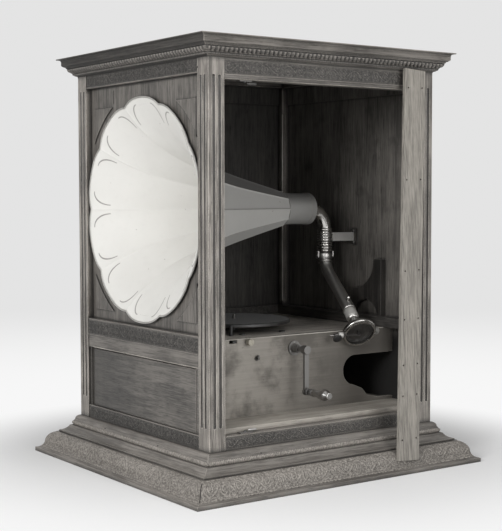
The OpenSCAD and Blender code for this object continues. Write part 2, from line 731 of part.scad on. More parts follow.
// Swivel: sleeve on the spigot, cup over the ball and two cheeks with the pivot pins.
pivot_r = 3;
flat_half = 16.4;
cheek_t = 3;
cheek_in = flat_half + air_gap;
cup_rim = 9;
cup_gap = ball_r + air_gap;
cup_t = 2.4;
sleeve_t = 3.2;
cheek_r = 7;
pin_depth = 5;
pin_proud = 1.5;
module arm_swivel() {
  color(plated) translate(knuckle) rotate([0, 0, -arm_heading]) {
    rotate_extrude() difference() {
      union() {
        translate([0, cup_rim + 2]) square([spigot_r + sleeve_t, spigot_l - cup_rim - 2]);
        translate([spigot_r + sleeve_t, spigot_l - sleeve_t]) circle(r = sleeve_t / 2);
        translate([0, cup_rim]) intersection() {
          translate([0, -cup_rim]) circle(r = cup_gap + cup_t);
          square([cup_gap + cup_t, cup_gap + cup_t]);
        }
      }
      circle(r = cup_gap);
      translate([-1, 0]) square([spigot_r + run_gap + 1, spigot_l + 1]);
      translate([-50, -50]) square([50, 100]);
    }
    for (s = [-1, 1]) {
      intersection() {
        translate([-cheek_r, s > 0 ? cheek_in : -cheek_in - cheek_t, -1]) cube([2 * cheek_r, cheek_t, cup_rim + 3]);
        difference() {
          translate([-30, -30, -30]) cube(60);
          rotate_extrude() difference() {
            intersection() {
              circle(r = cup_gap + cup_t - 0.2);
              translate([0, cup_rim]) square(40);
            }
            translate([0, -50]) square([cheek_in - 2, 100]);
          }
        }
      }
      translate([0, s > 0 ? cheek_in : -cheek_in - cheek_t, 0]) rotate([-90, 0, 0]) cylinder(r = cheek_r, h = cheek_t);
      translate([0, s > 0 ? flat_half - pin_depth : -cheek_in - cheek_t - pin_proud, 0]) rotate([-90, 0, 0])
        cylinder(r = pivot_r, h = cheek_in - flat_half + pin_depth + cheek_t + pin_proud);
    }
  }
}

// Tone arm. Each piece starts where the one before it ends, at point p, sloping down by a.
lean = 70;
first_l = 15;
bend_one_r = 50;
bend_two_r = 60;
function step(p, a, l) = p + l * [cos(a), -sin(a)];
function bend(p, a, b, r) = p + r * [sin(a) - sin(b), cos(a) - cos(b)];
arm_p1 = step([0, 0], lean, first_l);
arm_p2 = bend(arm_p1, lean, arm_slope, bend_one_r);
arm_p3 = step(arm_p2, arm_slope, arm_run);
arm_p4 = arm_p3 + bend_two_r * [sin(end_slope) - sin(arm_slope), cos(end_slope) - cos(arm_slope)];
neck_l = 25;
neck_lap = 5;
neck_wall = 2.6;
arm_p5 = step(arm_p4, end_slope, end_collar_l);
arm_p6 = step(arm_p5, end_slope, neck_l);
box_mid = step(arm_p6, end_slope, box_depth);
neck_r = 9;
// The bends are drawn slightly thicker, and the tubes run into them.
bend_swell = 0.15;
bend_lap = 0.6;
module in_arm() {
  translate(knuckle) rotate([0, 0, -arm_heading]) children();
}
// Local Z runs along the arm, away from the horn.
module on_arm(p, a) {
  translate([p[0], 0, p[1]]) rotate([0, 90 + a, 0]) children();
}
module arm_bend(p, a, b, r) {
  s = b > a ? 1 : -1;
  c = p - s * r * [sin(a), cos(a)];
  translate([c[0], 0, c[1]]) rotate([90, 0, 0]) rotate([0, 0, s > 0 ? 90 - b : 270 - a])
    rotate_extrude(angle = abs(b - a)) translate([r, 0]) difference() {
      circle(r = arm_r + bend_swell, $fn = 40);
      circle(r = arm_r - pipe_wall - bend_swell, $fn = 40);
    }
}
module arm_tube(p, a, l) {
  on_arm(p, a) translate([0, 0, -bend_lap]) tube(arm_r, pipe_wall, l + 2 * bend_lap);
}
module tone_arm() {
  color(plated) in_arm() {
    difference() {
      intersection() {
        sphere(r = ball_r, $fn = 36);
        translate([-30, -flat_half, -30]) cube([60, 2 * flat_half, 60]);
      }
      translate([0, 30, 0]) rotate([90, 0, 0]) cylinder(r = pivot_r + run_gap, h = 60);
      on_arm([0, 0], lean) cylinder(r = arm_r - pipe_wall, h = 40);
      cylinder(r = arm_r - pipe_wall - 1.5, h = 40);
    }
    difference() {
      on_arm([0, 0], lean) cylinder(r = arm_r, h = first_l + bend_lap);
      on_arm([0, 0], lean) translate([0, 0, -1]) cylinder(r = arm_r - pipe_wall, h = first_l + 3);
      sphere(r = ball_r - 0.2, $fn = 36);
    }
    on_arm(arm_p1, lean) translate([0, 0, -1.5]) ring(arm_r + 2.6, arm_r - 0.5, 4);
    arm_bend(arm_p1, lean, arm_slope, bend_one_r);
    arm_tube(arm_p2, arm_slope, arm_run);
    arm_bend(arm_p3, arm_slope, end_slope, bend_two_r);
    on_arm(arm_p4, end_slope) {
      translate([0, 0, -bend_lap]) tube(arm_r, pipe_wall, end_collar_l - 6 + bend_lap);
      translate([0, 0, 2]) ring(arm_r + 1.6, arm_r - 0.5, 5);
      rotate_extrude() difference() {
        union() {
          translate([0, end_collar_l - 12]) square([arm_r - 1, 6]);
          translate([arm_r - 6, end_collar_l - 6]) circle(r = 6, $fn = 20);
          translate([0, end_collar_l - 6]) square([arm_r - 6, 6]);
        }
        translate([-40, 0]) square([40, 100]);
        translate([-1, 0]) square([neck_r - 1.6, 100]);
        translate([-1, -1]) square([arm_r - pipe_wall - 1, end_collar_l - 8]);
      }
    }
    on_arm(arm_p5, end_slope) translate([0, 0, -neck_lap]) tube(neck_r, neck_wall, neck_l + neck_lap - air_gap);
    on_arm(arm_p3, arm_slope) rotate([0, 0, 180]) translate([arm_r - 0.5, 0, -6]) rotate([0, 90, 0]) {
      cylinder(r = 2, h = 6);
      translate([0, 0, 6]) sphere(r = 3.4, $fn = 16);
    }
  }
}

// Soundbox, built round its axis with its back at zero and its face at box_depth.
rim_w = box_r - diaphragm_r;
socket_r = neck_r + 4;
socket_l = 14;
module at_soundbox() {
  in_arm() on_arm(arm_p6, end_slope) children();
}
module soundbox_case() {
  color(plated) at_soundbox() rotate_extrude() difference() {
    union() {
      translate([0, -socket_l]) square([socket_r, socket_l + 2]);
      polygon([[0, 0], [socket_r, 0], [box_r - 8, 4], [box_r - 2, 7], [box_r - 2, box_depth - 8], [0, box_depth - 8]]);
    }
    translate([-1, -socket_l - 1]) square([neck_r + run_gap + 1, socket_l + 1]);
    translate([-1, -1]) square([5, 20]);
    translate([-1, 5]) square([diaphragm_r - 5, 20]);
    translate([-60, -60]) square([60, 120]);
  }
}
module soundbox_rim() {
  color(plated) at_soundbox() rotate_extrude() difference() {
    union() {
      translate([diaphragm_r, box_depth - 8]) square([rim_w - 2, 8]);
      translate([box_r - 2.4, box_depth - 5.6]) circle(r = 2.4);
      translate([diaphragm_r + 1.2, box_depth - 1]) circle(r = 1.2);
    }
    translate([0, box_depth]) square([80, 10]);
    translate([0, box_depth - 20]) square([80, 12]);
  }
}
module diaphragm() {
  color(black) at_soundbox() translate([0, 0, box_depth - 8]) rotate_extrude() {
    square([diaphragm_r - air_gap, 0.8]);
    translate([diaphragm_r - 6, 0.8]) circle(r = 0.8, $fn = 24);
    square([5, 4]);
  }
}
// Stylus bar: from the diaphragm over the rim to the needle socket, on knife pivots at the rim.
needle_turn = 179;
bar_z = box_depth + 1.2;
module on_needle_line() {
  at_soundbox() rotate([0, 0, needle_turn]) children();
}
module stylus_bar() {
  color(plated) on_needle_line() {
    difference() {
      translate([-2.4, 0, box_depth - 4 + air_gap]) cube([4.8, 4.8, bar_z - box_depth + 4 - air_gap + 2.4]);
      translate([-3, 4.81, 0]) cube([6, 6, 60]);
    }
    translate([-1.6, 0, bar_z]) cube([3.2, box_r + 6, 2.4]);
    translate([-7, box_r - 2, bar_z]) cube([14, 5, 3]);
    translate([0, box_r + 5, bar_z + 1.2]) rotate([-90, 0, 0]) difference() {
      cylinder(r = 4.2, h = needle_reach - box_r - 1);
      translate([0, 0, 4]) cylinder(r = 1.2, h = 40);
    }
  }
}
screw_stem_r = 1.6;
module needle_screw() {
  color(black) on_needle_line() translate([0, needle_reach, bar_z + 1.2]) {
    translate([0, 0, 4.2 + air_gap]) rotate_extrude() {
      square([2.4, 4]);
      translate([0, 3]) square([6.2, 4]);
      translate([6.2, 5]) circle(r = 2);
      translate([0, 7]) square([4, 2]);
    }
  }
}
module needle() {
  color(steel) on_needle_line() translate([0, needle_reach + 4.5, bar_z + 1.2]) rotate([-90, 0, 0])
    rotate_extrude() polygon([[0, -12], [0.9, -12], [0.9, 6], [0, 12]]);
}

// Turntable: plate with rim and hub, felt, and the spindle with its pinion and governor wheel.
spindle_at = [0, -spindle_y, 0];
felt_t = 2;
plate_z = base_h + platter_z - felt_t - platter_t;
hub_r = 16;
module turntable_plate() {
  color(plated) translate(spindle_at + [0, 0, plate_z]) rotate_extrude() difference() {
    union() {
      translate([0, platter_t - 2]) square([platter_r - 2, 2]);
      translate([platter_r - 5, 2]) square([5, platter_t - 2]);
      translate([platter_r - 3, 2]) circle(r = 2);
      translate([0, -3]) square([hub_r, platter_t + 2]);
      translate([60, platter_t - 4]) square([4, 3]);
    }
    translate([-1, -20]) square([spindle_r + 1, 60]);
    translate([-200, -100]) square([200, 200]);
    translate([platter_r, -10]) square([20, 40]);
  }
}
module turntable_felt() {
  color(dark_wood) translate(spindle_at + [0, 0, plate_z + platter_t]) difference() {
    cylinder(r = platter_r - 2, h = felt_t, $fn = 96);
    translate([0, 0, -1]) cylinder(r = spindle_r + air_gap, h = felt_t + 2);
  }
}

// Spur gear outline with thin straight teeth.
function gear_outline(teeth, m) = [for (i = [0:teeth - 1]) each
  let (a = 360 / teeth, r = m * teeth / 2)
  [for (q = [[-0.34, r - 1.15 * m], [-0.13, r + 0.85 * m], [0.13, r + 0.85 * m], [0.34, r - 1.15 * m]])
    q[1] * [cos((i + q[0]) * a), sin((i + q[0]) * a)]]];
module gear(teeth, m, h) {
  linear_extrude(h) polygon(gear_outline(teeth, m));
}
pinion_pitch_r = gear_module * pinion_teeth / 2;
barrel_pitch_r = gear_module * barrel_teeth / 2;
barrel_x = pinion_pitch_r + barrel_pitch_r;
crank_worm_r = 9;
top_plate_z = crank_axis_z - crank_worm_r - 1 - plate_t;
drum_top = top_plate_z - 4;
bottom_plate_z = drum_top - 8 - drum_h - 4 - plate_t;
gear_z = drum_top - 8;
governor_wheel_z = bottom_plate_z + plate_t + 14;
governor_axis_z = governor_wheel_z + 3;
governor_x = -governor_wheel_r - worm_r - air_gap;
module turntable_spindle() {
  foot = bottom_plate_z - 2;
  color(steel) translate(spindle_at) {
    translate([0, 0, foot]) cylinder(r = spindle_r, h = plate_z + platter_t + felt_t - foot);
    translate([0, 0, plate_z + platter_t + felt_t]) cylinder(r = 3.6, h = 8);
    translate([0, 0, plate_z + platter_t + felt_t + 8]) sphere(r = 3.6);
    translate([0, 0, gear_z - 1]) gear(pinion_teeth, gear_module, 8);
    translate([0, 0, governor_wheel_z]) gear(governor_wheel_teeth, 2 * governor_wheel_r / (governor_wheel_teeth + 1.7), 6);
    translate([0, 0, governor_wheel_z - 4]) cylinder(r = 9, h = 14);
  }
}

// Motor frame: two plates, four pillars, the bolts up into the motor board and the bearing blocks.
plate_x0 = governor_x - 26;
plate_x1 = barrel_x + 50;
plate_y0 = -spindle_y - 58;
plate_y1 = 12;
pillar_inset = 7;
pillar_r = 5;
motor_bolt_r = 4;
motor_posts = [for (x = [plate_x0 + pillar_inset, plate_x1 - pillar_inset], y = [plate_y0 + pillar_inset, plate_y1 - pillar_inset]) [x, y]];
shaft_block_x = barrel_x - 32;
shaft_block = [8, 18];
bolt_head_r = 7;
bolt_head_h = 2.5;
module plate(z) {
  difference() {
    translate([plate_x0, plate_y0, z]) cube([plate_x1 - plate_x0, plate_y1 - plate_y0, plate_t]);
    translate(spindle_at + [0, 0, z - 1]) cylinder(r = spindle_r + run_gap, h = plate_t + 2);
    translate([barrel_x, -spindle_y, z - 1]) cylinder(r = spindle_r + run_gap, h = plate_t + 2);
  }
}
governor_shaft_r = 2;
module governor_ear(y) {
  difference() {
    translate([governor_x - 6, y - 2, bottom_plate_z + plate_t]) cube([12, 4, governor_axis_z - bottom_plate_z - plate_t + 7]);
    translate([governor_x, y + 3, governor_axis_z]) rotate([90, 0, 0]) cylinder(r = governor_shaft_r + run_gap, h = 6);
  }
}
governor_half = 44;
module motor_frame() {
  color(black) {
    plate(top_plate_z);
    plate(bottom_plate_z);
    for (p = motor_posts) {
      translate([p[0], p[1], bottom_plate_z + plate_t]) cylinder(r = pillar_r, h = top_plate_z - bottom_plate_z - plate_t);
      translate([p[0], p[1], top_plate_z + plate_t]) cylinder(r = pillar_r, h = deck_under - top_plate_z - plate_t);
      translate([p[0], p[1], deck_under]) cylinder(r = motor_bolt_r, h = deck_t);
      translate([p[0], p[1], deck_top]) cylinder(r = bolt_head_r, h = bolt_head_h);
    }
    for (s = [-1, 1]) governor_ear(-spindle_y + s * governor_half);
    difference() {
      translate([shaft_block_x - shaft_block[0] / 2, -crank_y - shaft_block[1] / 2, top_plate_z + plate_t])
        cube([shaft_block[0], shaft_block[1], crank_axis_z - top_plate_z - plate_t + shaft_block[1] / 2]);
      translate([shaft_block_x - shaft_block[0], -crank_y, crank_axis_z]) rotate([0, 90, 0])
        cylinder(r = crank_r + run_gap, h = 2 * shaft_block[0]);
    }
  }
}

// Spring barrel with its toothed rim. It turns on the winding arbor.
arbor_r = spindle_r;
module spring_barrel() {
  color(plated) translate([barrel_x, -spindle_y, 0]) rotate([0, 0, 180 / barrel_teeth]) difference() {
    union() {
      translate([0, 0, gear_z]) gear(barrel_teeth, gear_module, 6);
      translate([0, 0, gear_z - drum_h]) cylinder(r = drum_r, h = drum_h);
      translate([0, 0, gear_z - drum_h - 2]) cylinder(r = 12, h = drum_h + 12);
    }
    translate([0, 0, gear_z - drum_h - 4]) cylinder(r = arbor_r + run_gap, h = drum_h + 20);
    translate([0, 0, gear_z - drum_h + 2]) difference() {
      cylinder(r = drum_r - 2, h = drum_h - 4);
      translate([0, 0, -1]) cylinder(r = 12, h = drum_h);
    }
  }
}
winding_wheel_r = spindle_y - crank_y - crank_worm_r - air_gap;
module winding_wheel() {
  foot = bottom_plate_z - 2;
  top = crank_axis_z + 5;
  color(steel) translate([barrel_x, -spindle_y, 0]) {
    translate([0, 0, foot]) cylinder(r = arbor_r, h = top - foot);
    translate([0, 0, crank_axis_z - 4]) gear(winding_teeth, 2 * winding_wheel_r / (winding_teeth + 1.7), 8);
  }
}

// Governor: shaft with worm, two end collars, a sliding disc and three weights on bowed springs.
governor_disc_r = 12;
weight_r = 4.5;
weight_at = 11;
module governor() {
  color(plated) translate([governor_x, -spindle_y, governor_axis_z]) rotate([90, 0, 0]) {
    translate([0, 0, -governor_half - 3]) cylinder(r = governor_shaft_r, h = 2 * governor_half + 6);
    translate([0, 0, -9]) cylinder(r = worm_r, h = 18);
    translate([0, 0, 12]) cylinder(r = 5.5, h = 4);
    translate([0, 0, 34]) cylinder(r = governor_disc_r, h = 2);
    translate([0, 0, 31]) cylinder(r = 5.5, h = 6);
    for (k = [0:2]) rotate([0, 0, 120 * k]) {
      translate([weight_at, 0, 20]) cylinder(r = weight_r, h = 6);
      translate([4, -1.5, 13]) rotate([0, atan2(weight_at - 4 - 1, 9), 0]) cube([1, 3, 11]);
      translate([weight_at - 1.4, -1.5, 25]) rotate([0, -atan2(weight_at - 4 - 1, 8), 0]) cube([1, 3, 10]);
    }
  }
}

// Crank: bush in the panel, shaft with worm, flat arm, grip on its pin.
bush_flange_r = 16;
bush_proud = 20;
module along_x(x, y, z) {
  translate([x, y, z]) rotate([0, 90, 0]) children();
}
module crank_bush() {
  color(plated) difference() {
    union() {
      along_x(box_inner_x, -crank_y, crank_axis_z) cylinder(r = bush_r - eps, h = box_t);
      along_x(box_face_x, -crank_y, crank_axis_z) cylinder(r = bush_flange_r, h = 3);
      along_x(box_face_x, -crank_y, crank_axis_z) cylinder(r = 9, h = bush_proud);
    }
    along_x(box_inner_x - 1, -crank_y, crank_axis_z) cylinder(r = crank_r + run_gap, h = box_t + bush_proud + 2);
  }
}
crank_x = box_face_x + crank_stand;
arm_bar_t = 6;
arm_bar_w = 11;
arm_eye_r = 8;
crank_boss_r = 9;
crank_boss_l = 9;
crank_boss_back = 6;
crank_worm_l = 30;
grip_pin_r = 3.5;
grip_cap_r = 6;
grip_cap_t = 3;
module crank() {
  start = shaft_block_x - 6;
  color(plated) {
    along_x(start, -crank_y, crank_axis_z) cylinder(r = crank_r, h = crank_x - start + arm_bar_t);
    along_x(barrel_x - crank_worm_l / 2, -crank_y, crank_axis_z) cylinder(r = crank_worm_r, h = crank_worm_l);
    along_x(crank_x - crank_boss_back, -crank_y, crank_axis_z) cylinder(r = crank_boss_r, h = arm_bar_t + crank_boss_l);
    translate([crank_x, -crank_y - arm_bar_w / 2, crank_axis_z - crank_throw]) cube([arm_bar_t, arm_bar_w, crank_throw]);
    along_x(crank_x, -crank_y, crank_axis_z - crank_throw) cylinder(r = arm_eye_r, h = arm_bar_t);
    along_x(crank_x + arm_bar_t, -crank_y, crank_axis_z - crank_throw) cylinder(r = grip_pin_r, h = grip_l);
    along_x(crank_x + arm_bar_t + grip_l, -crank_y, crank_axis_z - crank_throw)
      cylinder(r = grip_cap_r, h = grip_cap_t);
  }
}
ferrule_l = 22;
module crank_grip() {
  color(dark_wood) along_x(crank_x + arm_bar_t + air_gap, -crank_y, crank_axis_z - crank_throw) rotate_extrude() {
    difference() {
      union() {
        translate([0, 0]) square([7, ferrule_l]);
        translate([0, ferrule_l - 2]) square([grip_r - 1, 4]);
        translate([0, ferrule_l]) intersection() {
          translate([0, (grip_l - ferrule_l) / 2]) circle(r = (grip_l - ferrule_l) / 2);
          square([grip_r, grip_l - ferrule_l - 2 * air_gap - 1]);
        }
      }
      translate([-1, -1]) square([grip_pin_r + run_gap + 1, grip_l + 2]);
    }
  }
}

// Stop lever in its pocket under the skin of the motor board, with the pad that reaches the platter rim.
module bar_outline(a, b, w) {
  d = b - a;
  translate(a) rotate(atan2(d[1], d[0])) translate([0, -w / 2]) square([norm(d), w]);
}
lever_screw_r = 3;
pad_r = 4;
module stop_lever() {
  tip = [box_face_x + 7, slot_y - 1];
  color(black) translate([0, 0, lever_z]) {
    linear_extrude(lever_t) difference() {
      union() {
        bar_outline(lever_pivot, tip, lever_w);
        bar_outline(lever_pivot, pad_at, lever_w);
        translate(lever_pivot) circle(r = 8);
        translate(pad_at) circle(r = pad_r + 1.5);
      }
      translate(lever_pivot) circle(r = lever_screw_r + run_gap);
    }
    translate([pad_at[0], pad_at[1], lever_t - 1]) cylinder(r = pad_r, h = plate_z + platter_t - lever_z - lever_t);
  }
}
module lever_screw() {
  top = deck_top - deck_skin;
  color(steel) translate([lever_pivot[0], lever_pivot[1], 0]) {
    translate([0, 0, lever_z - 1]) cylinder(r = lever_screw_r, h = top - lever_z + 1);
    translate([0, 0, lever_z - 3 - air_gap]) cylinder(r = 6, h = 3);
  }
}

// Pale speed knob on a stem that passes the panel.
knob_l = 11;
knob_r = 7.5;
module speed_knob() {
  color(ivory) along_x(box_face_x + 1, knob_y, knob_z) rotate_extrude() {
    square([3.4, 6]);
    translate([0, 4]) square([knob_r - 2, knob_l]);
    translate([knob_r - 2, 6]) circle(r = 2);
    translate([knob_r - 2, knob_l + 2]) circle(r = 2);
    translate([0, 6]) square([knob_r, knob_l - 4]);
  }
  color(steel) along_x(box_inner_x - 12, knob_y, knob_z) cylinder(r = knob_stem_r, h = box_t + 13);
}
module panel_hook() {
  color(plated) {
    along_x(box_inner_x + 1, hook_y, hook_z) cylinder(r = hook_r, h = box_t + 8);
    along_x(box_face_x, hook_y, hook_z) cylinder(r = 5, h = 2);
    translate([box_face_x + 7, hook_y, hook_z]) cylinder(r = hook_r, h = 8);
  }
}

base_front();
base_right();
base_back();
base_left();
bottom_board();
post_front_left();
post_front_right();
post_back_left();
post_back_right();
cornice_front();
cornice_right();
cornice_back();
cornice_left();
top_board();
front_top_rail();
front_mid_rail();
front_bottom_rail();
side_top_rail();
side_sill();
back_wall();
left_wall();
horn_board();
front_lower_panel();
motor_board();
motor_box_panel();
compartment_floor();
wall_rails();
cradle_board();
loose_strip();
panel_catches();
catch_plunger_top();
catch_plunger_bottom();
horn_petals();
horn_collar();
horn_elbow();
elbow_bracket();
arm_swivel();
tone_arm();
soundbox_case();
soundbox_rim();
diaphragm();
stylus_bar();
needle_screw();
needle();
turntable_plate();
turntable_felt();
turntable_spindle();
motor_frame();
spring_barrel();
winding_wheel();
governor();
crank_bush();
crank();
crank_grip();
stop_lever();
lever_screw();
speed_knob();
panel_hook();
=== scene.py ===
import bmesh
import bpy
import math
import numpy as np
from mathutils import Euler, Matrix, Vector


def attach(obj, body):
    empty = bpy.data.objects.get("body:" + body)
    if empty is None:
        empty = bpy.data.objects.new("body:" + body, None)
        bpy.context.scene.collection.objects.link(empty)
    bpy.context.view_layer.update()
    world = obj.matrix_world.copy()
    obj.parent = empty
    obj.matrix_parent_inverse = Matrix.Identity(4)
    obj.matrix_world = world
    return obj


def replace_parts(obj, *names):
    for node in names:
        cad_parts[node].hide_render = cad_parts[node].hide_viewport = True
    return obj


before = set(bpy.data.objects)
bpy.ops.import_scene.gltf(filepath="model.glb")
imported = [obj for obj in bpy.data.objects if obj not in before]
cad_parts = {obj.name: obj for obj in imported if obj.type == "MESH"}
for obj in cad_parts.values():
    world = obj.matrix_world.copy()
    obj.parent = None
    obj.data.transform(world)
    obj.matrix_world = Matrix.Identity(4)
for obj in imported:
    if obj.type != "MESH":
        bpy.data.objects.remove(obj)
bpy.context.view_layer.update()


# ---- Studio ----
# The camera stands at the photograph's place. A lamp at the front right, a softer one that faces the open
# side and a broad one overhead light a pale sheet of paper, which runs into a pale backdrop.
scene = bpy.context.scene
scene.view_settings.view_transform = "Standard"

lens = bpy.data.cameras.new("photograph_camera")
lens.sensor_width = 36
focal_length, photo_height = 1243.36, 531
lens.lens = focal_length / photo_height * lens.sensor_width
lens.clip_end = 60
camera = bpy.data.objects.new("photograph_camera", lens)
camera.location = (2.3034, -1.6387, 0.6001)
looks_down, rolled, turned = 3.2839, 0.1107, 54.6325
camera.rotation_euler = Euler([math.radians(degrees) for degrees in (90 - looks_down, rolled, turned)])
scene.collection.objects.link(camera)
scene.camera = camera


def softbox(name, bearing, height, distance, size, power):
    """A square lamp aimed at the middle of the cabinet. bearing turns from the front towards the open side."""
    data = bpy.data.lights.new(name, "AREA")
    data.shape = "SQUARE"
    data.size = size
    data.energy = power
    lamp = bpy.data.objects.new(name, data)
    turn, rise = math.radians(bearing), math.radians(height)
    way = Vector((math.sin(turn) * math.cos(rise), -math.cos(turn) * math.cos(rise), math.sin(rise)))
    lamp.location = Vector((0, 0, 0.45)) + way * distance
    lamp.rotation_euler = way.to_track_quat("Z", "Y").to_euler()
    scene.collection.objects.link(lamp)


softbox("key_lamp", 24, 17, 3.2, 1.1, 66)
softbox("side_lamp", 94, 10, 3.2, 1.6, 38)
softbox("overhead_lamp", 65, 76, 3.2, 2.4, 50)


def math_node(operation, turned=False):
    """An operator of Wire that adds a Math node. turned puts the wire second."""
    def operator(wire, other):
        values = (other, wire) if turned else (wire, other)
        return wire.finish.node("ShaderNodeMath", dict(enumerate(values)), operation=operation)
    return operator


class Wire:
    """A node socket. Python's own operators on it add Math nodes to its tree."""

    __add__ = __radd__ = math_node("ADD")
    __sub__ = math_node("SUBTRACT")
    __rsub__ = math_node("SUBTRACT", turned=True)
    __mul__ = math_node("MULTIPLY")
    __gt__ = math_node("GREATER_THAN")
    __lt__ = math_node("LESS_THAN")

    def __init__(self, finish, socket):
        self.finish = finish
        self.socket = socket

    def within(self, low, high):
        """0 at low and below, 1 at high and above, smooth between."""
        return self.finish.node("ShaderNodeMapRange", {"Value": self, "From Min": low, "From Max": high},
                                interpolation_type="SMOOTHSTEP")


class Finish:
    """The nodes of one material, or of the world."""

    def __init__(self, owner):
        self.owner = owner
        owner.use_nodes = True
        self.tree = owner.node_tree

    def node(self, kind, values=None, output=0, **settings):
        """Any node: its settings first, then the values or links of its sockets. Returns one output."""
        made = self.tree.nodes.new(kind)
        for name, value in settings.items():
            setattr(made, name, value)
        for name, value in (values or {}).items():
            self.feed(made.inputs[name], value)
        return Wire(self, made.outputs[output])

    def feed(self, socket, value):
        """Links a wire to a socket, or sets the socket's own number or colour."""
        if isinstance(value, Wire):
            self.tree.links.new(value.socket, socket)
        elif socket.type == "RGBA":
            socket.default_value = (*value, 1)
        else:
            socket.default_value = value

    def seen(self):
        """1 for what the camera, mirrors and glass see, 0 for light that falls on the object."""
        rays = [self.node("ShaderNodeLightPath", output=f"Is {kind} Ray")
                for kind in ("Camera", "Glossy", "Transmission")]
        return rays[0] + rays[1] + rays[2] > 0.5

    def mix(self, a, b, mask):
        """Colour a where the mask is 0, b where it is 1."""
        return self.node("ShaderNodeMix", {0: mask, 6: a, 7: b}, 2, data_type="RGBA")


backdrop, floor_glow = (0.775, 0.775, 0.775), (0.93, 0.93, 0.93)
scene.world = bpy.data.worlds.new("studio_air")
air = Finish(scene.world)
fill_light = air.node("ShaderNodeBackground", {"Color": (1, 1, 1), "Strength": 0.16})
seen_air = air.node("ShaderNodeBackground", {"Color": backdrop, "Strength": 1.0})
air.feed(air.tree.nodes["World Output"].inputs["Surface"],
         air.node("ShaderNodeMixShader", {0: air.seen(), 1: fill_light, 2: seen_air}))

# Away from the cabinet the paper glows for the camera, brighter near the middle: a painted pool of light.
paper = Finish(bpy.data.materials.new("studio_paper"))
paper.tree.nodes.clear()
from_middle = paper.node("ShaderNodeVectorMath", {0: paper.node("ShaderNodeTexCoord", output="Object")}, "Value",
                         operation="LENGTH")
matt_paper = paper.node("ShaderNodeBsdfDiffuse", {"Color": (0.86, 0.86, 0.86)})
paper_tone = paper.mix(floor_glow, backdrop, from_middle.within(1.0, 4.0))
bright_paper = paper.node("ShaderNodeEmission", {"Color": paper_tone, "Strength": 1.0})
paper.feed(paper.tree.nodes.new("ShaderNodeOutputMaterial").inputs["Surface"],
           paper.node("ShaderNodeMixShader",
                      {0: from_middle.within(0.46, 0.9) * paper.seen(), 1: matt_paper, 2: bright_paper}))
floor_mesh = bpy.data.meshes.new("studio_floor")
floor_mesh.from_pydata([(-20, -20, 0), (20, -20, 0), (20, 20, 0), (-20, 20, 0)], [], [(0, 1, 2, 3)])
floor_mesh.materials.append(paper.owner)
floor = bpy.data.objects.new("studio_floor", floor_mesh)
scene.collection.objects.link(floor)


# ---- Base moulding ----
# Four mitred lengths of oak: a round, a bead cut with small ticks, a cove and a broad ogee carved
# with running foliage, over a plain foot. The oak is stained brown, and its edges are rubbed pale.
# Sizes from here on are in millimetres, apart from those in materials.
mm = 0.001
half_w, half_d, base_top = 271, 298, 88
oak_dark, oak_light = (0.078, 0.070, 0.061), (0.215, 0.198, 0.178)


class Solid(Finish):
    """A surface of the object: its main shader and the place of each point in metres."""

    def __init__(self, name):
        super().__init__(bpy.data.materials.new(name))
        self.shader = self.tree.nodes["Principled BSDF"]
        self.place = self.node("ShaderNodeTexCoord", output="Object")

    def give(self, **sockets):
        """base_color feeds Base Color, and so on."""
        for name, value in sockets.items():
            self.feed(self.shader.inputs[name.replace("_", " ").title()], value)
        return self.owner

    def along(self, axis):
        """Metres along X, Y or Z in the shared frame."""
        return self.node("ShaderNodeSeparateXYZ", {0: self.place}, axis)

    def stretched(self, x, y, z):
        """The place with each axis scaled. Noise runs out long where an axis is scaled down."""
        return self.node("ShaderNodeVectorMath", {0: self.place, 1: (x, y, z)}, operation="MULTIPLY")

    def noise(self, scale, detail=3.0, place=None, roughness=0.55, distortion=0.0):
        """Cloudy values round 0.5."""
        return self.node("ShaderNodeTexNoise", {"Vector": place or self.place, "Scale": scale, "Detail": detail,
                                                "Roughness": roughness, "Distortion": distortion})

    def bump(self, height, depth, strength=1.0, under=None):
        """The normal of a fine relief, depth metres deep, on top of the normal under it."""
        values = {"Height": height, "Distance": depth, "Strength": strength}
        if under:
            values["Normal"] = under
        return self.node("ShaderNodeBump", values)

    def soft_edges(self, width):
        """The normal of slightly rounded edges, and a mask of those edges."""
        soft = self.node("ShaderNodeBevel", {"Radius": width}, samples=4)
        true = self.node("ShaderNodeNewGeometry", output="True Normal")
        same = self.node("ShaderNodeVectorMath", {0: soft, 1: true}, "Value", operation="DOT_PRODUCT")
        return soft, (1 - same).within(0.002, 0.1)

    def shade_in_hollows(self, reach):
        """1 at the bottom of cuts and corners, 0 on open faces: the mask of painted shade in hollows."""
        sky = self.node("ShaderNodeAmbientOcclusion", {"Distance": reach}, "AO", samples=5)
        return (1 - sky).within(0.03, 0.3)


def shaded(colour, amount):
    """A colour made darker or paler."""
    return tuple(min(1, c * amount) for c in colour)


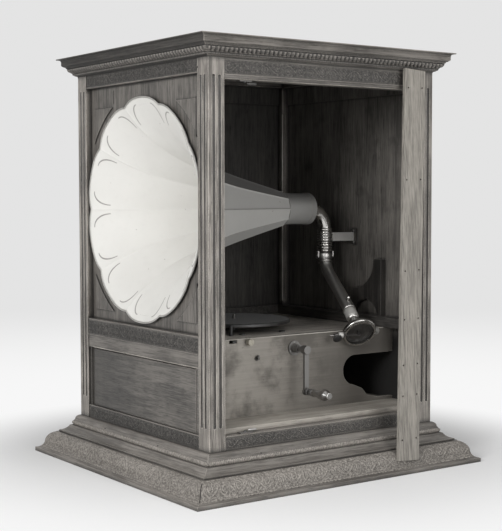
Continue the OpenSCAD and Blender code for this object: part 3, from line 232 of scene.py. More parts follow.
def timber(name, along, dark, light, roughness=0.5, polish=0.12, rubbed=0.0, grimy=0.0, coarse=1.0, lively=1.0,
           reach=0.006, darkened=None):
    """Wood with its grain along X, Y or Z: broad figure, fine fibres, open pores, stains and handling marks.
    grimy darkens the hollows with dirt and painted shade. darkened makes a mask of where the colour
    goes nearly black."""
    wood = Solid(name)
    run = {"X": (0.07, 1, 1), "Y": (1, 0.07, 1), "Z": (1, 1, 0.07)}[along]
    along_grain = wood.stretched(*run)
    along_fibre = wood.stretched(*(0.6 * r if r < 1 else r for r in run))
    figure = wood.noise(62 * coarse, 4.0, along_grain, 0.6, 0.5)
    fibre = wood.noise(330 * coarse, 5.0, along_fibre, 0.75)
    pores = wood.noise(800 * coarse, 2.0, along_fibre).within(0.55, 0.68)
    patina = wood.noise(7.0, 5.0)
    stains = wood.noise(19, 3.0).within(0.55, 0.78)
    shade = (figure - 0.5) * (1.6 * lively) + (fibre - 0.5) * (2.5 * lively) + (patina - 0.5) * (1.8 * lively) + 0.5
    shade = shade - pores * 0.3 - stains * 0.2
    colour = wood.mix(dark, light, shade.within(0.0, 1.0))
    normal = None
    if rubbed:
        normal, edges = wood.soft_edges(0.0018)
        pale = shaded(light, 1 + rubbed)
        colour = wood.mix(colour, pale, edges * (0.45 + patina * 0.9))
    if grimy:
        # Dirt and painted shade in the hollows.
        colour = wood.mix(colour, shaded(dark, 0.2), wood.shade_in_hollows(reach) * grimy)
    if darkened:
        colour = wood.mix(colour, shaded(dark, 0.16), darkened(wood))
    relief = fibre * 0.6 - pores * 0.7 + figure * 0.25
    return wood.give(base_color=colour, roughness=roughness + (patina - 0.5) * 0.3 + pores * 0.12,
                     normal=wood.bump(relief, 0.0004, 0.6, normal), coat_weight=polish, coat_roughness=0.38)


def oak(name, along, dark, light, **wear):
    """Stained oak, each of its two tones made darker or paler."""
    return timber(name, along, shaded(oak_dark, dark), shaded(oak_light, light), **wear)


def dress(material, *nodes):
    """Gives the frame's own pieces their material."""
    for node in nodes:
        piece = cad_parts[node]
        piece.data.materials.clear()
        piece.data.materials.append(material)


def add_piece(name, mesh, material, body="cabinet"):
    """A new piece with its material. It rides on a body."""
    mesh.materials.append(material)
    piece = bpy.data.objects.new(name, mesh)
    scene.collection.objects.link(piece)
    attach(piece, body)
    return piece


def mesh_piece(name, points, faces, material, body="cabinet"):
    """A smooth piece from points in millimetres, in an array of any shape that ends in x, y, z."""
    mesh = bpy.data.meshes.new(name)
    mesh.from_pydata((np.asarray(points).reshape(-1, 3) * mm).tolist(), [], faces)
    mesh.polygons.foreach_set("use_smooth", [True] * len(mesh.polygons))
    mesh.update()
    return add_piece(name, mesh, material, body)


def grid_faces(rows, columns, closed=False, start=0):
    """Quads between rows of points. closed joins the last column to the first."""
    index = np.arange(rows * columns).reshape(rows, columns) + start
    right = np.roll(index, -1, axis=1) if closed else index[:, 1:]
    left = index if closed else index[:, :-1]
    return np.stack([left[:-1], left[1:], right[1:], right[:-1]], axis=-1).reshape(-1, 4).tolist()


def ridge(distance, width):
    """A rounded ridge, 1 on its line."""
    return np.exp(-(distance / width) ** 2)


def smooth(x, low, high):
    """0 at low, 1 at high, smooth between."""
    t = np.clip((x - low) / (high - low), 0, 1)
    return t * t * (3 - 2 * t)


def foliage_tile():
    """One repeat of running foliage, sizes in band heights: a waving stem, a volute that ends in a
    rosette in each bend, and lobed leaves that fill the corners."""
    half = 1.12
    rows, columns = 96, 216
    v, u = np.meshgrid(np.linspace(0, 1, rows), np.linspace(0, 2 * half, columns, endpoint=False), indexing="ij")
    height = np.zeros_like(u)

    def nearest(x, y):
        return np.sqrt(((u[..., None] - x) ** 2 + (v[..., None] - y) ** 2).min(axis=-1))

    wave = np.linspace(-half, 3 * half, 180)
    stem = nearest(wave, 0.5 - 0.33 * np.cos(math.pi * wave / half))
    height = np.maximum(height, ridge(stem, 0.045))
    for bend in (-1, 0, 1, 2, 3):
        up = 1 if bend % 2 == 0 else -1
        mid_u, mid_v = bend * half, 0.5 + up * 0.055
        turn = np.linspace(0, 1, 120)
        angle = math.radians(215) - turn * math.radians(560)
        reach = 0.34 - 0.25 * turn ** 0.8
        x, y = mid_u + reach * np.cos(angle), mid_v + up * reach * np.sin(angle)
        height = np.maximum(height, ridge(nearest(x, y), 0.036) * 0.9)
        du, dv = u - mid_u, (v - mid_v) * up
        r, a = np.hypot(du, dv), np.arctan2(dv, du)
        rosette = 0.085 + 0.028 * np.abs(np.cos(2.5 * a))
        height = np.maximum(height, np.sqrt(np.clip(1 - (r / rosette) ** 2, 0, 1)) * (1 - 0.5 * ridge(r, 0.02)))
        for lean, leaf_at, size in ((50, 0.47, 0.20), (118, 0.45, 0.17), (-20, 0.46, 0.16)):
            way = math.radians(lean)
            lx, ly = mid_u + leaf_at * math.cos(way), mid_v + up * leaf_at * math.sin(way)
            x = ((u - lx) * math.cos(way + 0.7) + (v - ly) * up * math.sin(way + 0.7)) / size
            y = (-(u - lx) * math.sin(way + 0.7) + (v - ly) * up * math.cos(way + 0.7)) / size
            blade = 0.34 * np.sqrt(np.clip(1 - x ** 2, 0, 1)) * (1 - 0.35 * np.cos(9 * x) ** 2)
            inside = np.clip(1 - np.abs(y) / np.maximum(blade, 1e-4), 0, 1) * (np.abs(x) < 1)
            height = np.maximum(height, 0.85 * np.sqrt(inside) * (1 - 0.45 * ridge(y, 0.05)))
    return height, 2 * half


foliage_heights, foliage_repeat = foliage_tile()


def foliage(u, v, shift=0.0):
    """Height from 0 to 1 of the foliage. u and v are in band heights, v from 0 to 1."""
    rows, columns = foliage_heights.shape
    x = ((u + shift) / foliage_repeat % 1) * columns
    y = np.clip(v, 0, 1) * (rows - 1)
    x0, y0 = np.floor(x).astype(int), np.minimum(np.floor(y).astype(int), rows - 2)
    fx, fy = x - x0, y - y0
    x0, x1 = x0 % columns, (x0 + 1) % columns
    low = foliage_heights[y0, x0] * (1 - fx) + foliage_heights[y0, x1] * fx
    high = foliage_heights[y0 + 1, x0] * (1 - fx) + foliage_heights[y0 + 1, x1] * fx
    return (low * (1 - fy) + high * fy) * smooth(np.minimum(v, 1 - v), 0.0, 0.07)


def arc(middle, radius, start, end, count=14):
    """Points on part of a circle, from start to end in degrees."""
    a = np.radians(np.linspace(start, end, count + 1))
    return np.stack([middle[0] + radius * np.cos(a), middle[1] + radius * np.sin(a)], axis=1)


def headings(line):
    """Unit vectors along a line of points."""
    way = np.gradient(line, axis=0)
    return way / np.linalg.norm(way, axis=1)[:, None]


# Carving and edging lie this far over the wood under them, so that no two faces coincide.
proud = 0.08


def round_the_body(name, profile, level, pitch, heights, material):
    """Carving that follows a moulding round all four sides, mitred at the corners. The profile runs
    downwards: overhang and height. heights gives millimetres from u, v and the profile's length."""
    steps = np.concatenate([[0], np.cumsum(np.hypot(*np.diff(profile, axis=0).T))])
    rows = max(6, int(steps[-1] / pitch)) + 1
    at = np.linspace(0, steps[-1], rows)
    line = np.stack([np.interp(at, steps, profile[:, k]) for k in (0, 1)], axis=1)
    way = headings(line)
    outward = np.stack([-way[:, 1], way[:, 0]], axis=1)
    for word, turn, run, away in (("front", 0, half_w, half_d), ("right", 90, half_d, half_w),
                                  ("back", 180, half_w, half_d), ("left", 270, half_d, half_w)):
        columns = int(2 * (run + line[-1, 0]) / pitch)
        reach = run + line[:, 0]
        u = np.linspace(-1, 1, columns)[None, :] * reach[:, None]
        v = np.repeat(at[:, None], columns, axis=1)
        plain = smooth(reach[:, None] - np.abs(u), 3, 9)
        h = proud + heights(u, v, steps[-1]) * plain
        points = np.stack([u, -away - line[:, :1] - outward[:, :1] * h, level + line[:, 1:] + outward[:, 1:] * h],
                          axis=-1)
        c, s = math.cos(math.radians(turn)), math.sin(math.radians(turn))
        mesh_piece(f"{name}_{word}", points @ np.array([[c, s, 0], [-s, c, 0], [0, 0, 1]]),
                   grid_faces(rows, columns), material)


# The right-hand lengths take a darker copy of the oak: painted shade.
for word, along, pale in (("front", "X", 1.0), ("back", "X", 1.0), ("left", "Y", 1.0), ("right", "Y", 0.86)):
    dress(oak(f"base_oak_{word}", along, dark=pale, light=pale, rubbed=0.5, grimy=0.7), f"base_{word}")


def carved(name, dark, light, bright=0.5, grimy=0.0):
    """Carved oak: old dirt and painted shade in the cuts, rubbed tops, and the small facets that the gouge left."""
    dark, light = shaded(oak_dark, dark), shaded(oak_light, light)
    wood = Solid(name)
    crest = wood.node("ShaderNodeNewGeometry", output="Pointiness") - 0.5
    facets = wood.noise(230, 4.0, roughness=0.7)
    chips = wood.noise(620, 3.0)
    patina = wood.noise(8, 4.0)
    shade = (facets - 0.5) * 3.2 + (chips - 0.5) * 1.2 + (patina - 0.5) * 0.9 + 0.45
    colour = wood.mix(dark, light, shade.within(0.0, 1.0))
    colour = wood.mix(colour, shaded(light, 1.9), crest.within(0.006, 0.09) * bright)
    # Dirt and painted shade in the cuts.
    colour = wood.mix(colour, shaded(dark, 0.16), (0 - crest).within(0.003, 0.07) * 0.85)
    if grimy:
        colour = wood.mix(colour, shaded(dark, 0.16), wood.shade_in_hollows(0.005) * grimy)
    return wood.give(base_color=colour, roughness=0.5 + patina * 0.15, coat_weight=0.15, coat_roughness=0.4,
                     normal=wood.bump(facets + chips * 0.4, 0.0012, 0.7))


base_carved_oak = carved("base_carved_oak", dark=1.25, light=1.35)

# The ogee: a round over a hollow. They meet on the line through both middles, join degrees off the level.
foot_h, low_r, high_r, join = 8.7, 17, 25, 5
low_mid = np.array([80, -base_top + foot_h + low_r])
high_mid = low_mid - (low_r + high_r) * np.array([math.cos(math.radians(join)), math.sin(math.radians(join))])
ogee = np.concatenate([arc(high_mid, high_r, 76, join), arc(low_mid, low_r, 180 + join, 238)])
tick_bead, tick_spacing = arc((11.5, -18.5), 4.5, 62, -58, 10), 4.3


def base_carving(u, v, width):
    """Large scrolls between two narrow borders."""
    border = 4.5
    band = width - 2 * border
    at = (width - border - v) / band
    small = foliage(2.3 * u / band, 2.3 * at % 1, 0.4)
    leaves = 1.7 * np.maximum(foliage(1.25 * u / band, at), 0.75 * small)
    return leaves + 0.55 * ridge(v - 2.2, 1.0) + 0.55 * ridge(v - width + 2.2, 1.0)


round_the_body("base_foliage", ogee, base_top, 1.1, base_carving, base_carved_oak)
round_the_body("base_ticks", tick_bead, base_top, 0.85,
               lambda u, v, width: 1.1 - 1.05 * ridge(u / tick_spacing % 1 - 0.5, 0.17), base_carved_oak)


def mottled(name, dark, light, scale, roughness, detail=3.0, relief=None, patchy=0.0):
    """A dull surface, cloudy between two tones. relief gives the scale, depth and strength of its fine grain.
    patchy makes its pale clouds rougher."""
    stuff = Solid(name)
    cloud = stuff.noise(scale, detail)
    sockets = {"base_color": stuff.mix(dark, light, cloud), "roughness": roughness}
    if patchy:
        sockets["roughness"] = roughness + cloud * patchy
    if relief:
        fine, depth, strength = relief
        sockets["normal"] = stuff.bump(stuff.noise(fine), depth, strength)
    return stuff.give(**sockets)


def rod(name, points, radius, material, body="cabinet", sides=12):
    """A thin round moulding or wire through points, with rounded ends."""
    points = np.array(points, dtype=float)
    way = headings(points)
    up = np.array([0.0, 0.0, 1.0]) if abs(way[0, 2]) < 0.9 else np.array([1.0, 0.0, 0.0])
    side = np.cross(way, up)
    side /= np.linalg.norm(side, axis=1)[:, None]
    other = np.cross(side, way)
    angle = np.linspace(0, 2 * math.pi, sides, endpoint=False)
    rings = []
    for i, shift, scale in [(0, -radius, 0.05), (0, -radius * 0.6, 0.75), *((i, 0, 1) for i in range(len(points))),
                            (-1, radius * 0.6, 0.75), (-1, radius, 0.05)]:
        ring = radius * scale * (np.cos(angle)[:, None] * side[i] + np.sin(angle)[:, None] * other[i])
        rings.append(points[i] + way[i] * shift + ring)
    mesh_piece(name, rings, grid_faces(len(rings), sides, closed=True), material, body)


mitre_lift = 0.7
rod("open_mitre", [(half_w + over + mitre_lift, -half_d - over - mitre_lift, base_top + down)
                   for over, down in ogee[3:-3]],
    0.8, mottled("mitre_crack", (0.006, 0.006, 0.005), (0.03, 0.027, 0.024), 300, 0.95))


# ---- Corner posts ----
# Four square oak posts with two stopped flutes on each outer face. The grain runs up them, and
# their arrises are the palest part of the outer wood.
dress(oak("post_oak", "Z", dark=1.15, light=1.45, roughness=0.46, rubbed=1.3, grimy=1.0, reach=0.012),
      "post_front_left", "post_front_right", "post_back_left", "post_back_right")


# ---- Cornice ----
# Mitred oak moulding round the top, with a row of tongues cut in its quarter round. Old nails have left
# dark holes in it and in the base.
# Each side takes its own copy of the oak, the front much the darkest: painted shade.
for word, along, pale in (("front", "X", 0.29), ("back", "X", 0.8), ("left", "Y", 0.8), ("right", "Y", 0.9)):
    dress(oak(f"cornice_oak_{word}", along, dark=0.7 * pale, light=pale, roughness=0.68, polish=0.0, rubbed=1.0,
              grimy=1.0), f"cornice_{word}")


body_top = 868
quarter_round = arc((10, 19.1), 8.7, -1, -89, 12)
fillet, small_bead = arc((9.5, 9.7), 1.0, 80, -80, 6), arc((6.9, 7), 2.6, 75, -75, 8)
tongue_spacing, bead_spacing = 10.8, 5.5


def tongues(u, v, width):
    """Rounded tongues with a deep cut between each two and a thin rib down each."""
    x = (u / tongue_spacing % 1 - 0.5) * tongue_spacing
    y = np.abs(v - width / 2) / (width / 2)
    tongue = np.sqrt(np.clip(1 - (x / 4.1) ** 2, 0, 1)) * smooth(y, 1.0, 0.75)
    return 2.6 * tongue * (1 - 0.25 * ridge(np.abs(x) - 2.2, 0.6))


# The carving on the side friezes and the cornice takes darker copies of the carved oak: painted shade.
carved_oak = carved("carved_oak", dark=0.3, light=0.63, bright=1.0, grimy=0.9)
tongue_oak = carved("tongue_oak", dark=0.35, light=0.85, bright=1.0, grimy=1.0)
round_the_body("cornice_tongues", quarter_round, body_top, 0.85, tongues, tongue_oak)
round_the_body("cornice_fillet", fillet, body_top, 0.6, lambda u, v, width: 0 * u,
               oak("fillet_oak", "X", dark=1.2, light=1.5, roughness=0.42))
round_the_body("cornice_beads", small_bead, body_top, 0.75,
               lambda u, v, width: 0.9 * np.sqrt(np.abs(np.sin(u * math.pi / bead_spacing))), carved_oak)


def square_to(axis):
    """A unit vector along the axis and two more, square to it and to each other."""
    axis = Vector(axis).normalized()
    side = axis.orthogonal().normalized()
    return np.array(axis), np.array(side), np.array(axis.cross(side))


def lathe(name, outline, middle, axis, material, body="cabinet", around=40, wave=None):
    """A turned piece. The outline gives distance along the axis and radius, in millimetres. wave adds
    to the radius of a point from its distance along and its angle, for threads and knurls."""
    axis, side, other = square_to(axis)
    outline = np.array(outline, dtype=float)
    angle = np.linspace(0, 2 * math.pi, around, endpoint=False)
    along = np.repeat(outline[:, :1], around, axis=1)
    radius = np.repeat(outline[:, 1:], around, axis=1)
    if wave:
        radius = radius + wave(along, angle[None, :])
    points = (np.array(middle) + along[..., None] * axis + (radius * np.cos(angle))[..., None] * side
              + (radius * np.sin(angle))[..., None] * other)
    return mesh_piece(name, points, grid_faces(len(outline), around, closed=True), material, body)


# Black discs stand in for old nail holes, painted dark as the shade inside a hole.
black_fill = mottled("dark_filler", (0.004, 0.004, 0.004), (0.02, 0.018, 0.016), 900, 0.95)
for i, (x, y, z, way) in enumerate(((290.4, -268, 886.6, (0.93, 0, -0.36)), (233, -298.1, 850, (0, -1, 0)),
                                    (296, -190, 80.6, (0.3, 0, 0.95)), (-120, -318, 80.4, (0, -0.3, 0.95)),
                                    (110, -321, 79.6, (0, -0.35, 0.94)))):
    lathe(f"nail_hole_{i}", [(0.15, 0.02), (0.2, 0.9), (0.12, 1.6), (-0.6, 1.9)], (x, y, z), way, black_fill,
          around=16)


# ---- Rails with carved friezes ----
# Oak rails tenoned between the posts. A band of the same foliage is carved along each, and a thin
# bead is worked on the edge next to the opening or the panel.
# The front rails take a darker copy of the oak than the side rails: painted shade.
front_rail_oak = oak("front_rail_oak", "X", dark=0.7, light=0.8, rubbed=0.8, grimy=0.9)
side_rail_oak = oak("side_rail_oak", "Y", dark=1, light=1, rubbed=0.8, grimy=0.9)
dress(front_rail_oak, "front_top_rail", "front_mid_rail", "front_bottom_rail")
dress(side_rail_oak, "side_top_rail", "side_sill")
# The front friezes take the darkest copy: painted shade.
front_carved_oak = carved("front_carved_oak", dark=0.2, light=0.45, bright=1.0, grimy=0.9)
rail_front, rail_side = -296.5, 269.5


def on_front(along, z, out):
    """Points on the front rails, out from their face."""
    return np.stack([along, rail_front - out, z], axis=-1)


def on_side(along, z, out):
    """Points on the rails of the open side, out from their face."""
    return np.stack([rail_side + out, along, z], axis=-1)


def frieze(name, where, run, low, high, shift, material):
    """A carved band on a flat rail, 2 * run long. where is on_front or on_side."""
    pitch, tall = 1.0, high - low
    columns, rows = int(2 * run / pitch), int(tall / pitch) + 1
    u = np.repeat(np.linspace(-run, run, columns)[None, :], rows, axis=0)
    z = np.repeat(np.linspace(high, low, rows)[:, None], columns, axis=1)
    v = (z - low) / tall
    edge = smooth(np.minimum(run - np.abs(u), np.minimum(z - low, high - z)), 0.0, 1.6)
    small = foliage(2.3 * u / tall, 2.3 * v % 1, shift + 0.4)
    h = proud + edge * 1.6 * np.maximum(0.8 * foliage(u / tall, v, shift), small)
    mesh_piece(name, where(u, z, h), grid_faces(rows, columns), material)


for name, where, run, low, high, shift, material in (
        ("front_top_frieze", on_front, 230, 843, 866.5, 0.3, front_carved_oak),
        ("front_mid_frieze", on_front, 230, 283, 312, 0.0, front_carved_oak),
        ("front_bottom_frieze", on_front, 230, 91, 114.5, 0.8, front_carved_oak),
        ("side_top_frieze", on_side, 257, 838, 864, 0.5, carved_oak),
        ("side_sill_frieze", on_side, 257, 91.5, 113, 0.2, carved_oak)):
    frieze(name, where, run, low, high, shift, material)
for name, where, run, level, material in (
        ("front_top_bead", on_front, 231, 840.6, front_rail_oak),
        ("front_mid_bead", on_front, 231, 315.4, front_rail_oak),
        ("front_mid_lower_bead", on_front, 231, 280.4, front_rail_oak),
        ("front_bottom_bead", on_front, 231, 116.6, front_rail_oak),
        ("side_top_bead", on_side, 258, 835.6, side_rail_oak),
        ("side_top_arris", on_side, 258, 827.6, side_rail_oak),
        ("side_sill_bead", on_side, 258, 116, side_rail_oak)):
    rod(name, where(np.linspace(-run, run, 9), np.full(9, level), np.zeros(9)), 1.3, material)


# ---- Horn board and lower panel ----
# The board behind the petals has a sunk circle, so its four corners stand proud. The panel below is
# a raised field of oak. Both have shrunk, and black rods paint the gaps along their right edges dark as shade.
# Both take darker copies of the oak than the posts: painted shade.
board_oak = oak("horn_board_oak", "Z", dark=0.45, light=0.78, rubbed=0.7, grimy=0.8, lively=0.7)
# The field also turns darker towards its left end.
field_oak = oak("lower_field_oak", "X", dark=0.34, light=0.73, rubbed=0.8, coarse=1.3, lively=0.7,
                darkened=lambda wood: (0.14 - wood.along("X")).within(0.0, 0.4) * 0.6)
dress(board_oak, "horn_board")
dress(field_oak, "front_lower_panel")
board_face, board_proud, panel_face, panel_proud = -284, 2.6, -289, 4.2


def raised_plate(name, outline, back, thickness, chamfer, material):
    """A flat piece with worked edges that faces the front. The outline gives x and z."""
    shape = bmesh.new()
    face = shape.faces.new([shape.verts.new((x * mm, back * mm, z * mm)) for x, z in outline])
    made = bmesh.ops.extrude_face_region(shape, geom=[face])["geom"]
    front = {v for v in made if isinstance(v, bmesh.types.BMVert)}
    for v in front:
        v.co.y -= thickness * mm
    rim = [e for e in shape.edges if e.verts[0] in front and e.verts[1] in front]
    bmesh.ops.bevel(shape, geom=rim, offset=chamfer * mm, segments=3, profile=0.6, affect="EDGES")
    bmesh.ops.recalc_face_normals(shape, faces=shape.faces)
    mesh = bpy.data.meshes.new(name)
    shape.to_mesh(mesh)
    shape.free()
    add_piece(name, mesh, material)


horn_z, sunk_r = 566, 262
left_x, right_x, stile_x, shrinkage = -216, 208, 233, 3


def beside_circle(x_far, x_near, z_end):
    """Outline of a piece of board above or below the sunk circle: an arc from x_far to x_near, or as far
    as the circle stays short of z_end, and straight edges."""
    sign = 1 if z_end > horn_z else -1
    reach = abs(z_end - horn_z)
    x_stop = x_near
    if sunk_r > reach:
        x_stop = max(x_near, math.copysign(math.sqrt(sunk_r ** 2 - reach ** 2), x_far), key=abs)
    inner = [(x, horn_z + sign * math.sqrt(sunk_r ** 2 - x ** 2)) for x in np.linspace(x_far, x_stop, 20)]
    outer = [(x_stop, z_end), (x_far, z_end)]
    if abs(inner[-1][1] - z_end) < 0.01:
        outer = outer[1:]
    return inner + outer


def rectangle(left, right, low, high):
    """Outline of a plain plate."""
    return [(left, low), (right, low), (right, high), (left, high)]


for word, z_end, rail in (("top", 792, 839), ("bottom", 339.7, 317)):
    for name, outline, chamfer in (
            (f"spandrel_{word}_left", beside_circle(left_x, 0, z_end), 1.4),
            (f"spandrel_{word}_right", beside_circle(right_x, 0, z_end), 1.4),
            (f"stile_{word}_right", beside_circle(stile_x, right_x + shrinkage, rail), 0.8)):
        raised_plate(name, outline, board_face, board_proud, chamfer, board_oak)
for name, outline, chamfer in (("lower_field", rectangle(-212, 215, 118, 249), 2.4),
                               ("lower_stile_right", rectangle(218, 233, 118, 252), 0.8),
                               ("lower_stile_left", rectangle(-233, -226, 118, 252), 0.8)):
    raised_plate(name, outline, panel_face, panel_proud, chamfer, field_oak)
# A pale rod along the top of the lower panel: a painted highlight on its edge.
rod("rail_arris", [(x, -296.2, 252.9) for x in np.linspace(-212, 228, 9)], 1.2,
    oak("highlight_bead_oak", "X", dark=1.5, light=2.0, roughness=0.42))
rod("board_joint", [(-129, -284.2, 800), (-129, -284.2, 815), (-129, -284.2, 829)], 0.5, black_fill)
# Black rods fill the gaps along the right edges: painted shade.
for name, low, high in (("top", 716, 795), ("bottom", 343, 420)):
    rod(f"board_gap_{name}", [(209.6, -285.3, z) for z in np.linspace(low, high, 8)], 1.4, black_fill)


# ---- Inside of the case ----
# Closed back and left wall of wide stained boards, plain top and bottom boards, and a thin pale bead
# in the far corner. The wood is unpolished and streaky along its grain. Painted shade darkens its hollows,
# the walls below the deck and the left wall.
wall_dark, wall_light = (0.036, 0.0325, 0.029), (0.158, 0.146, 0.131)
deck_level, wall_face = 0.31, 0.283


def shade_below_deck(wood):
    """Painted shade on the walls below the deck, on the inside only."""
    return (deck_level - wood.along("Z")).within(0.0, 0.05) * (wood.along("Y") < wall_face) * 0.97


wall_wood = timber("wall_wood", "Z", wall_dark, wall_light, roughness=0.72, polish=0.0, grimy=0.5, coarse=0.8,
                   lively=0.6, darkened=shade_below_deck)
board_wood = timber("board_wood", "Y", wall_dark, wall_light, roughness=0.75, polish=0.0, grimy=0.5)
dress(wall_wood, "back_wall")
# The left wall takes a darker copy of the wall wood: painted shade.
dress(timber("left_wall_shaded_wood", "Z", shaded(wall_dark, 0.38), shaded(wall_light, 0.45), roughness=0.75,
             polish=0.0, grimy=0.5, coarse=0.8, lively=0.5), "left_wall")
dress(board_wood, "top_board", "bottom_board")
rod("corner_bead", [(-231.4, 258.4, z) for z in np.linspace(330, 800, 12)], 1.7,
    timber("corner_bead_wood", "Z", (0.45, 0.42, 0.38), (0.78, 0.74, 0.68), roughness=0.6), "cabinet")


# ---- Motor compartment ----
# A stained motor board carries the turntable, below rails on the walls. Under it a pale panel, with a large
# cut-out at its back, closes the motor off from the open side, above a pale floor. Oil has marked the panel,
# and painted shade darkens it towards its back.
pale_dark, pale_light = (0.235, 0.215, 0.188), (0.400, 0.372, 0.330)
dress(timber("deck_wood", "Y", (0.15, 0.138, 0.124), (0.44, 0.409, 0.369), roughness=0.6, polish=0.1, grimy=0.4),
      "motor_board")
dress(timber("rail_wood", "X", shaded(wall_dark, 0.5), shaded(wall_light, 0.5), roughness=0.7, polish=0.0),
      "wall_rails")


def panel_wood():
    """Pale varnished board, clouded with oil, spotted, worn pale on its edges and with painted shade at its back."""
    wood = Solid("motor_panel_wood")
    grain = wood.noise(34, 4.0, wood.stretched(1, 0.07, 1), 0.6, 0.7)
    fibre = wood.noise(280, 4.0, wood.stretched(1, 0.03, 1), 0.7)
    clouds = wood.noise(9, 6.0, roughness=0.65).within(0.42, 0.72)
    spots = wood.noise(70, 2.0).within(0.70, 0.78)
    # Painted shade, darker towards the back of the panel.
    shade_to_back = (wood.along("Y") + 0.2).within(0.0, 0.36)
    shade = (grain - 0.5) * 0.15 + (fibre - 0.5) * 0.4 + 0.76 - clouds * 0.6 - shade_to_back * 0.7
    tone = wood.mix((0.10, 0.091, 0.079), shaded(pale_light, 0.9), shade.within(0.0, 1.0))
    tone = wood.mix(tone, (0.10, 0.088, 0.075), spots * 0.4)
    soft, worn = wood.soft_edges(0.0012)
    return wood.give(base_color=wood.mix(tone, (0.46, 0.43, 0.38), worn * 0.8), roughness=0.62 + clouds * 0.12,
                     normal=wood.bump(fibre * 0.6 + grain * 0.3, 0.0003, 0.5, soft))


dress(panel_wood(), "motor_box_panel")
# A pale rod along the front edge of the deck: worn wood and a painted highlight.
rod("deck_arris", [(163.6, y, 294.6) for y in np.linspace(-258, 250, 12)], 0.9,
    timber("worn_and_lit_arris", "Y", (0.42, 0.40, 0.36), (0.62, 0.59, 0.54), roughness=0.5), "cabinet")
dress(timber("compartment_floor_wood", "Y", pale_dark, pale_light, roughness=0.62, polish=0.0, rubbed=0.3, grimy=0.3),
      "compartment_floor")


# ---- Cradle board ----
# A board stained nearly black, screwed to the back wall. The arm is parked against its hollow when the
# cabinet is moved. Its arrises are rubbed.
dress(timber("cradle_stain", "Z", (0.010, 0.009, 0.008), (0.042, 0.038, 0.034), roughness=0.45, polish=0.35,
             rubbed=1.6), "cradle_board")


# ---- Loose strip ----
# A bare pine lath that leans against the back post, sawn and never stained. Rust and painted shade darken
# the nail holes where it was once fixed.
def bare_pine():
    """Sawn pine with coarse fibres, greyed in patches, and darkened by rust and painted shade in its holes."""
    lath = Solid("bare_pine")
    grain = lath.noise(42, 4.0, lath.stretched(1, 1, 0.05), 0.6, 1.2)
    fibre = lath.noise(300, 4.0, lath.stretched(1, 1, 0.02), 0.7)
    grey = lath.noise(6, 4.0).within(0.4, 0.7)
    shade = (grain - 0.5) * 0.9 + (fibre - 0.5) * 1.9 + 0.55
    tone = lath.mix((0.105, 0.097, 0.085), (0.335, 0.312, 0.276), shade.within(0.0, 1.0))
    tone = lath.mix(tone, (0.20, 0.19, 0.175), grey * 0.4)
    # Rust and painted shade in the holes and corners.
    tone = lath.mix(tone, (0.07, 0.055, 0.045), lath.shade_in_hollows(0.003) * 0.5)
    return lath.give(base_color=tone, roughness=0.78,
                     normal=lath.bump(fibre * 0.7 + grain * 0.4, 0.0004, 0.7, lath.soft_edges(0.0010)[0]))


dress(bare_pine(), "loose_strip")


# ---- Panel catches ----
# Small plated plates with sprung plungers in the top rail and the sill. They hold the side panel, which
# is lifted off here.
def metal(name, colour, roughness, wear=0.5, tarnish=(0.10, 0.09, 0.08), grain=0.00004):
    """Plated or turned metal with fine rubbing marks, dull patches, and dirt and painted shade in its corners."""
    plate = Solid(name)
    cloud = plate.noise(16, 4.0)
    spots = plate.noise(150, 3.0).within(0.60, 0.74)
    rubbing = plate.noise(900, 2.0, plate.stretched(1, 1, 0.2))
    # Dirt and painted shade in the corners.
    dirt_and_shade = plate.shade_in_hollows(0.004)
    shade = plate.mix(colour, tarnish, cloud.within(0.45, 0.9) * 0.35 * wear + spots * 0.35 * wear + dirt_and_shade * 0.55)
    return plate.give(base_color=shade, metallic=1.0, roughness=roughness + (cloud - 0.4) * 0.25 * wear + spots * 0.2,
                      normal=plate.bump(rubbing + spots * 0.5, grain, 0.5))


def japanned(name, colour, roughness=0.32):
    """Black stoving enamel over iron: glossy where untouched, rubbed grey on its edges."""
    coat = Solid(name)
    dust = coat.noise(26, 4.0).within(0.42, 0.8)
    soft, worn = coat.soft_edges(0.0007)
    shade = coat.mix(coat.mix(colour, (0.045, 0.042, 0.038), dust * 0.5), (0.13, 0.125, 0.12), worn * 0.6)
    return coat.give(base_color=shade, roughness=roughness + dust * 0.25, coat_weight=0.4, coat_roughness=0.2,
                     normal=coat.bump(coat.noise(500), 0.00004, 0.4, soft))


dress(metal("catch_plate_steel", (0.20, 0.195, 0.19), 0.55, wear=1.0), "panel_catches")
black_enamel = japanned("black_enamel", (0.008, 0.008, 0.008))
dress(black_enamel, "catch_plunger_top", "catch_plunger_bottom")
for word, level, radius, tone in (("top", 820.4, 4.1, 0.09), ("bottom", 122.6, 2.6, 0.42)):
    rod(f"catch_barrel_{word}", [(262.5, y, level) for y in np.linspace(-196, -180, 6)], radius,
        metal(f"catch_barrel_{word}", (tone, tone * 0.98, tone * 0.95), 0.6, wear=1.0), "cabinet", 20)


# ---- Horn ----
# Ten petals of thin sheet, soldered edge to edge and rolled over a wire at the rim. Flat facets at the
# throat open into rounded petals at the mouth. Off-white stove enamel, creased by the press beside each notch.
petals, throat_r, rise, mouth_r, flare = 10, 37, 92, 237.5, 5.5
bell_l, throat_y, half_turn = 371, 78.5, math.radians(18)
notch_depth, notch_cut, lobes_from, sheet_half, roll_r = 0.006, 0.018, 0.6, 0.6, 1.75


def bell(s, f):
    """Distance behind the mouth, radius and slope of the bell. s runs from throat to rim, f across a petal."""
    opened = smooth(s, lobes_from, 1)
    notch = np.abs(f) ** 3.2
    t = s * (1 - notch_depth * opened * notch)
    spread = (1 - opened) / np.cos(half_turn * f) + opened * (1 - notch_cut * notch)
    radius = (throat_r + rise * t + (mouth_r - throat_r - rise) * t ** flare) * spread
    slope = (rise + (mouth_r - throat_r - rise) * flare * t ** (flare - 1)) * spread
    return throat_y - bell_l * t, radius, slope


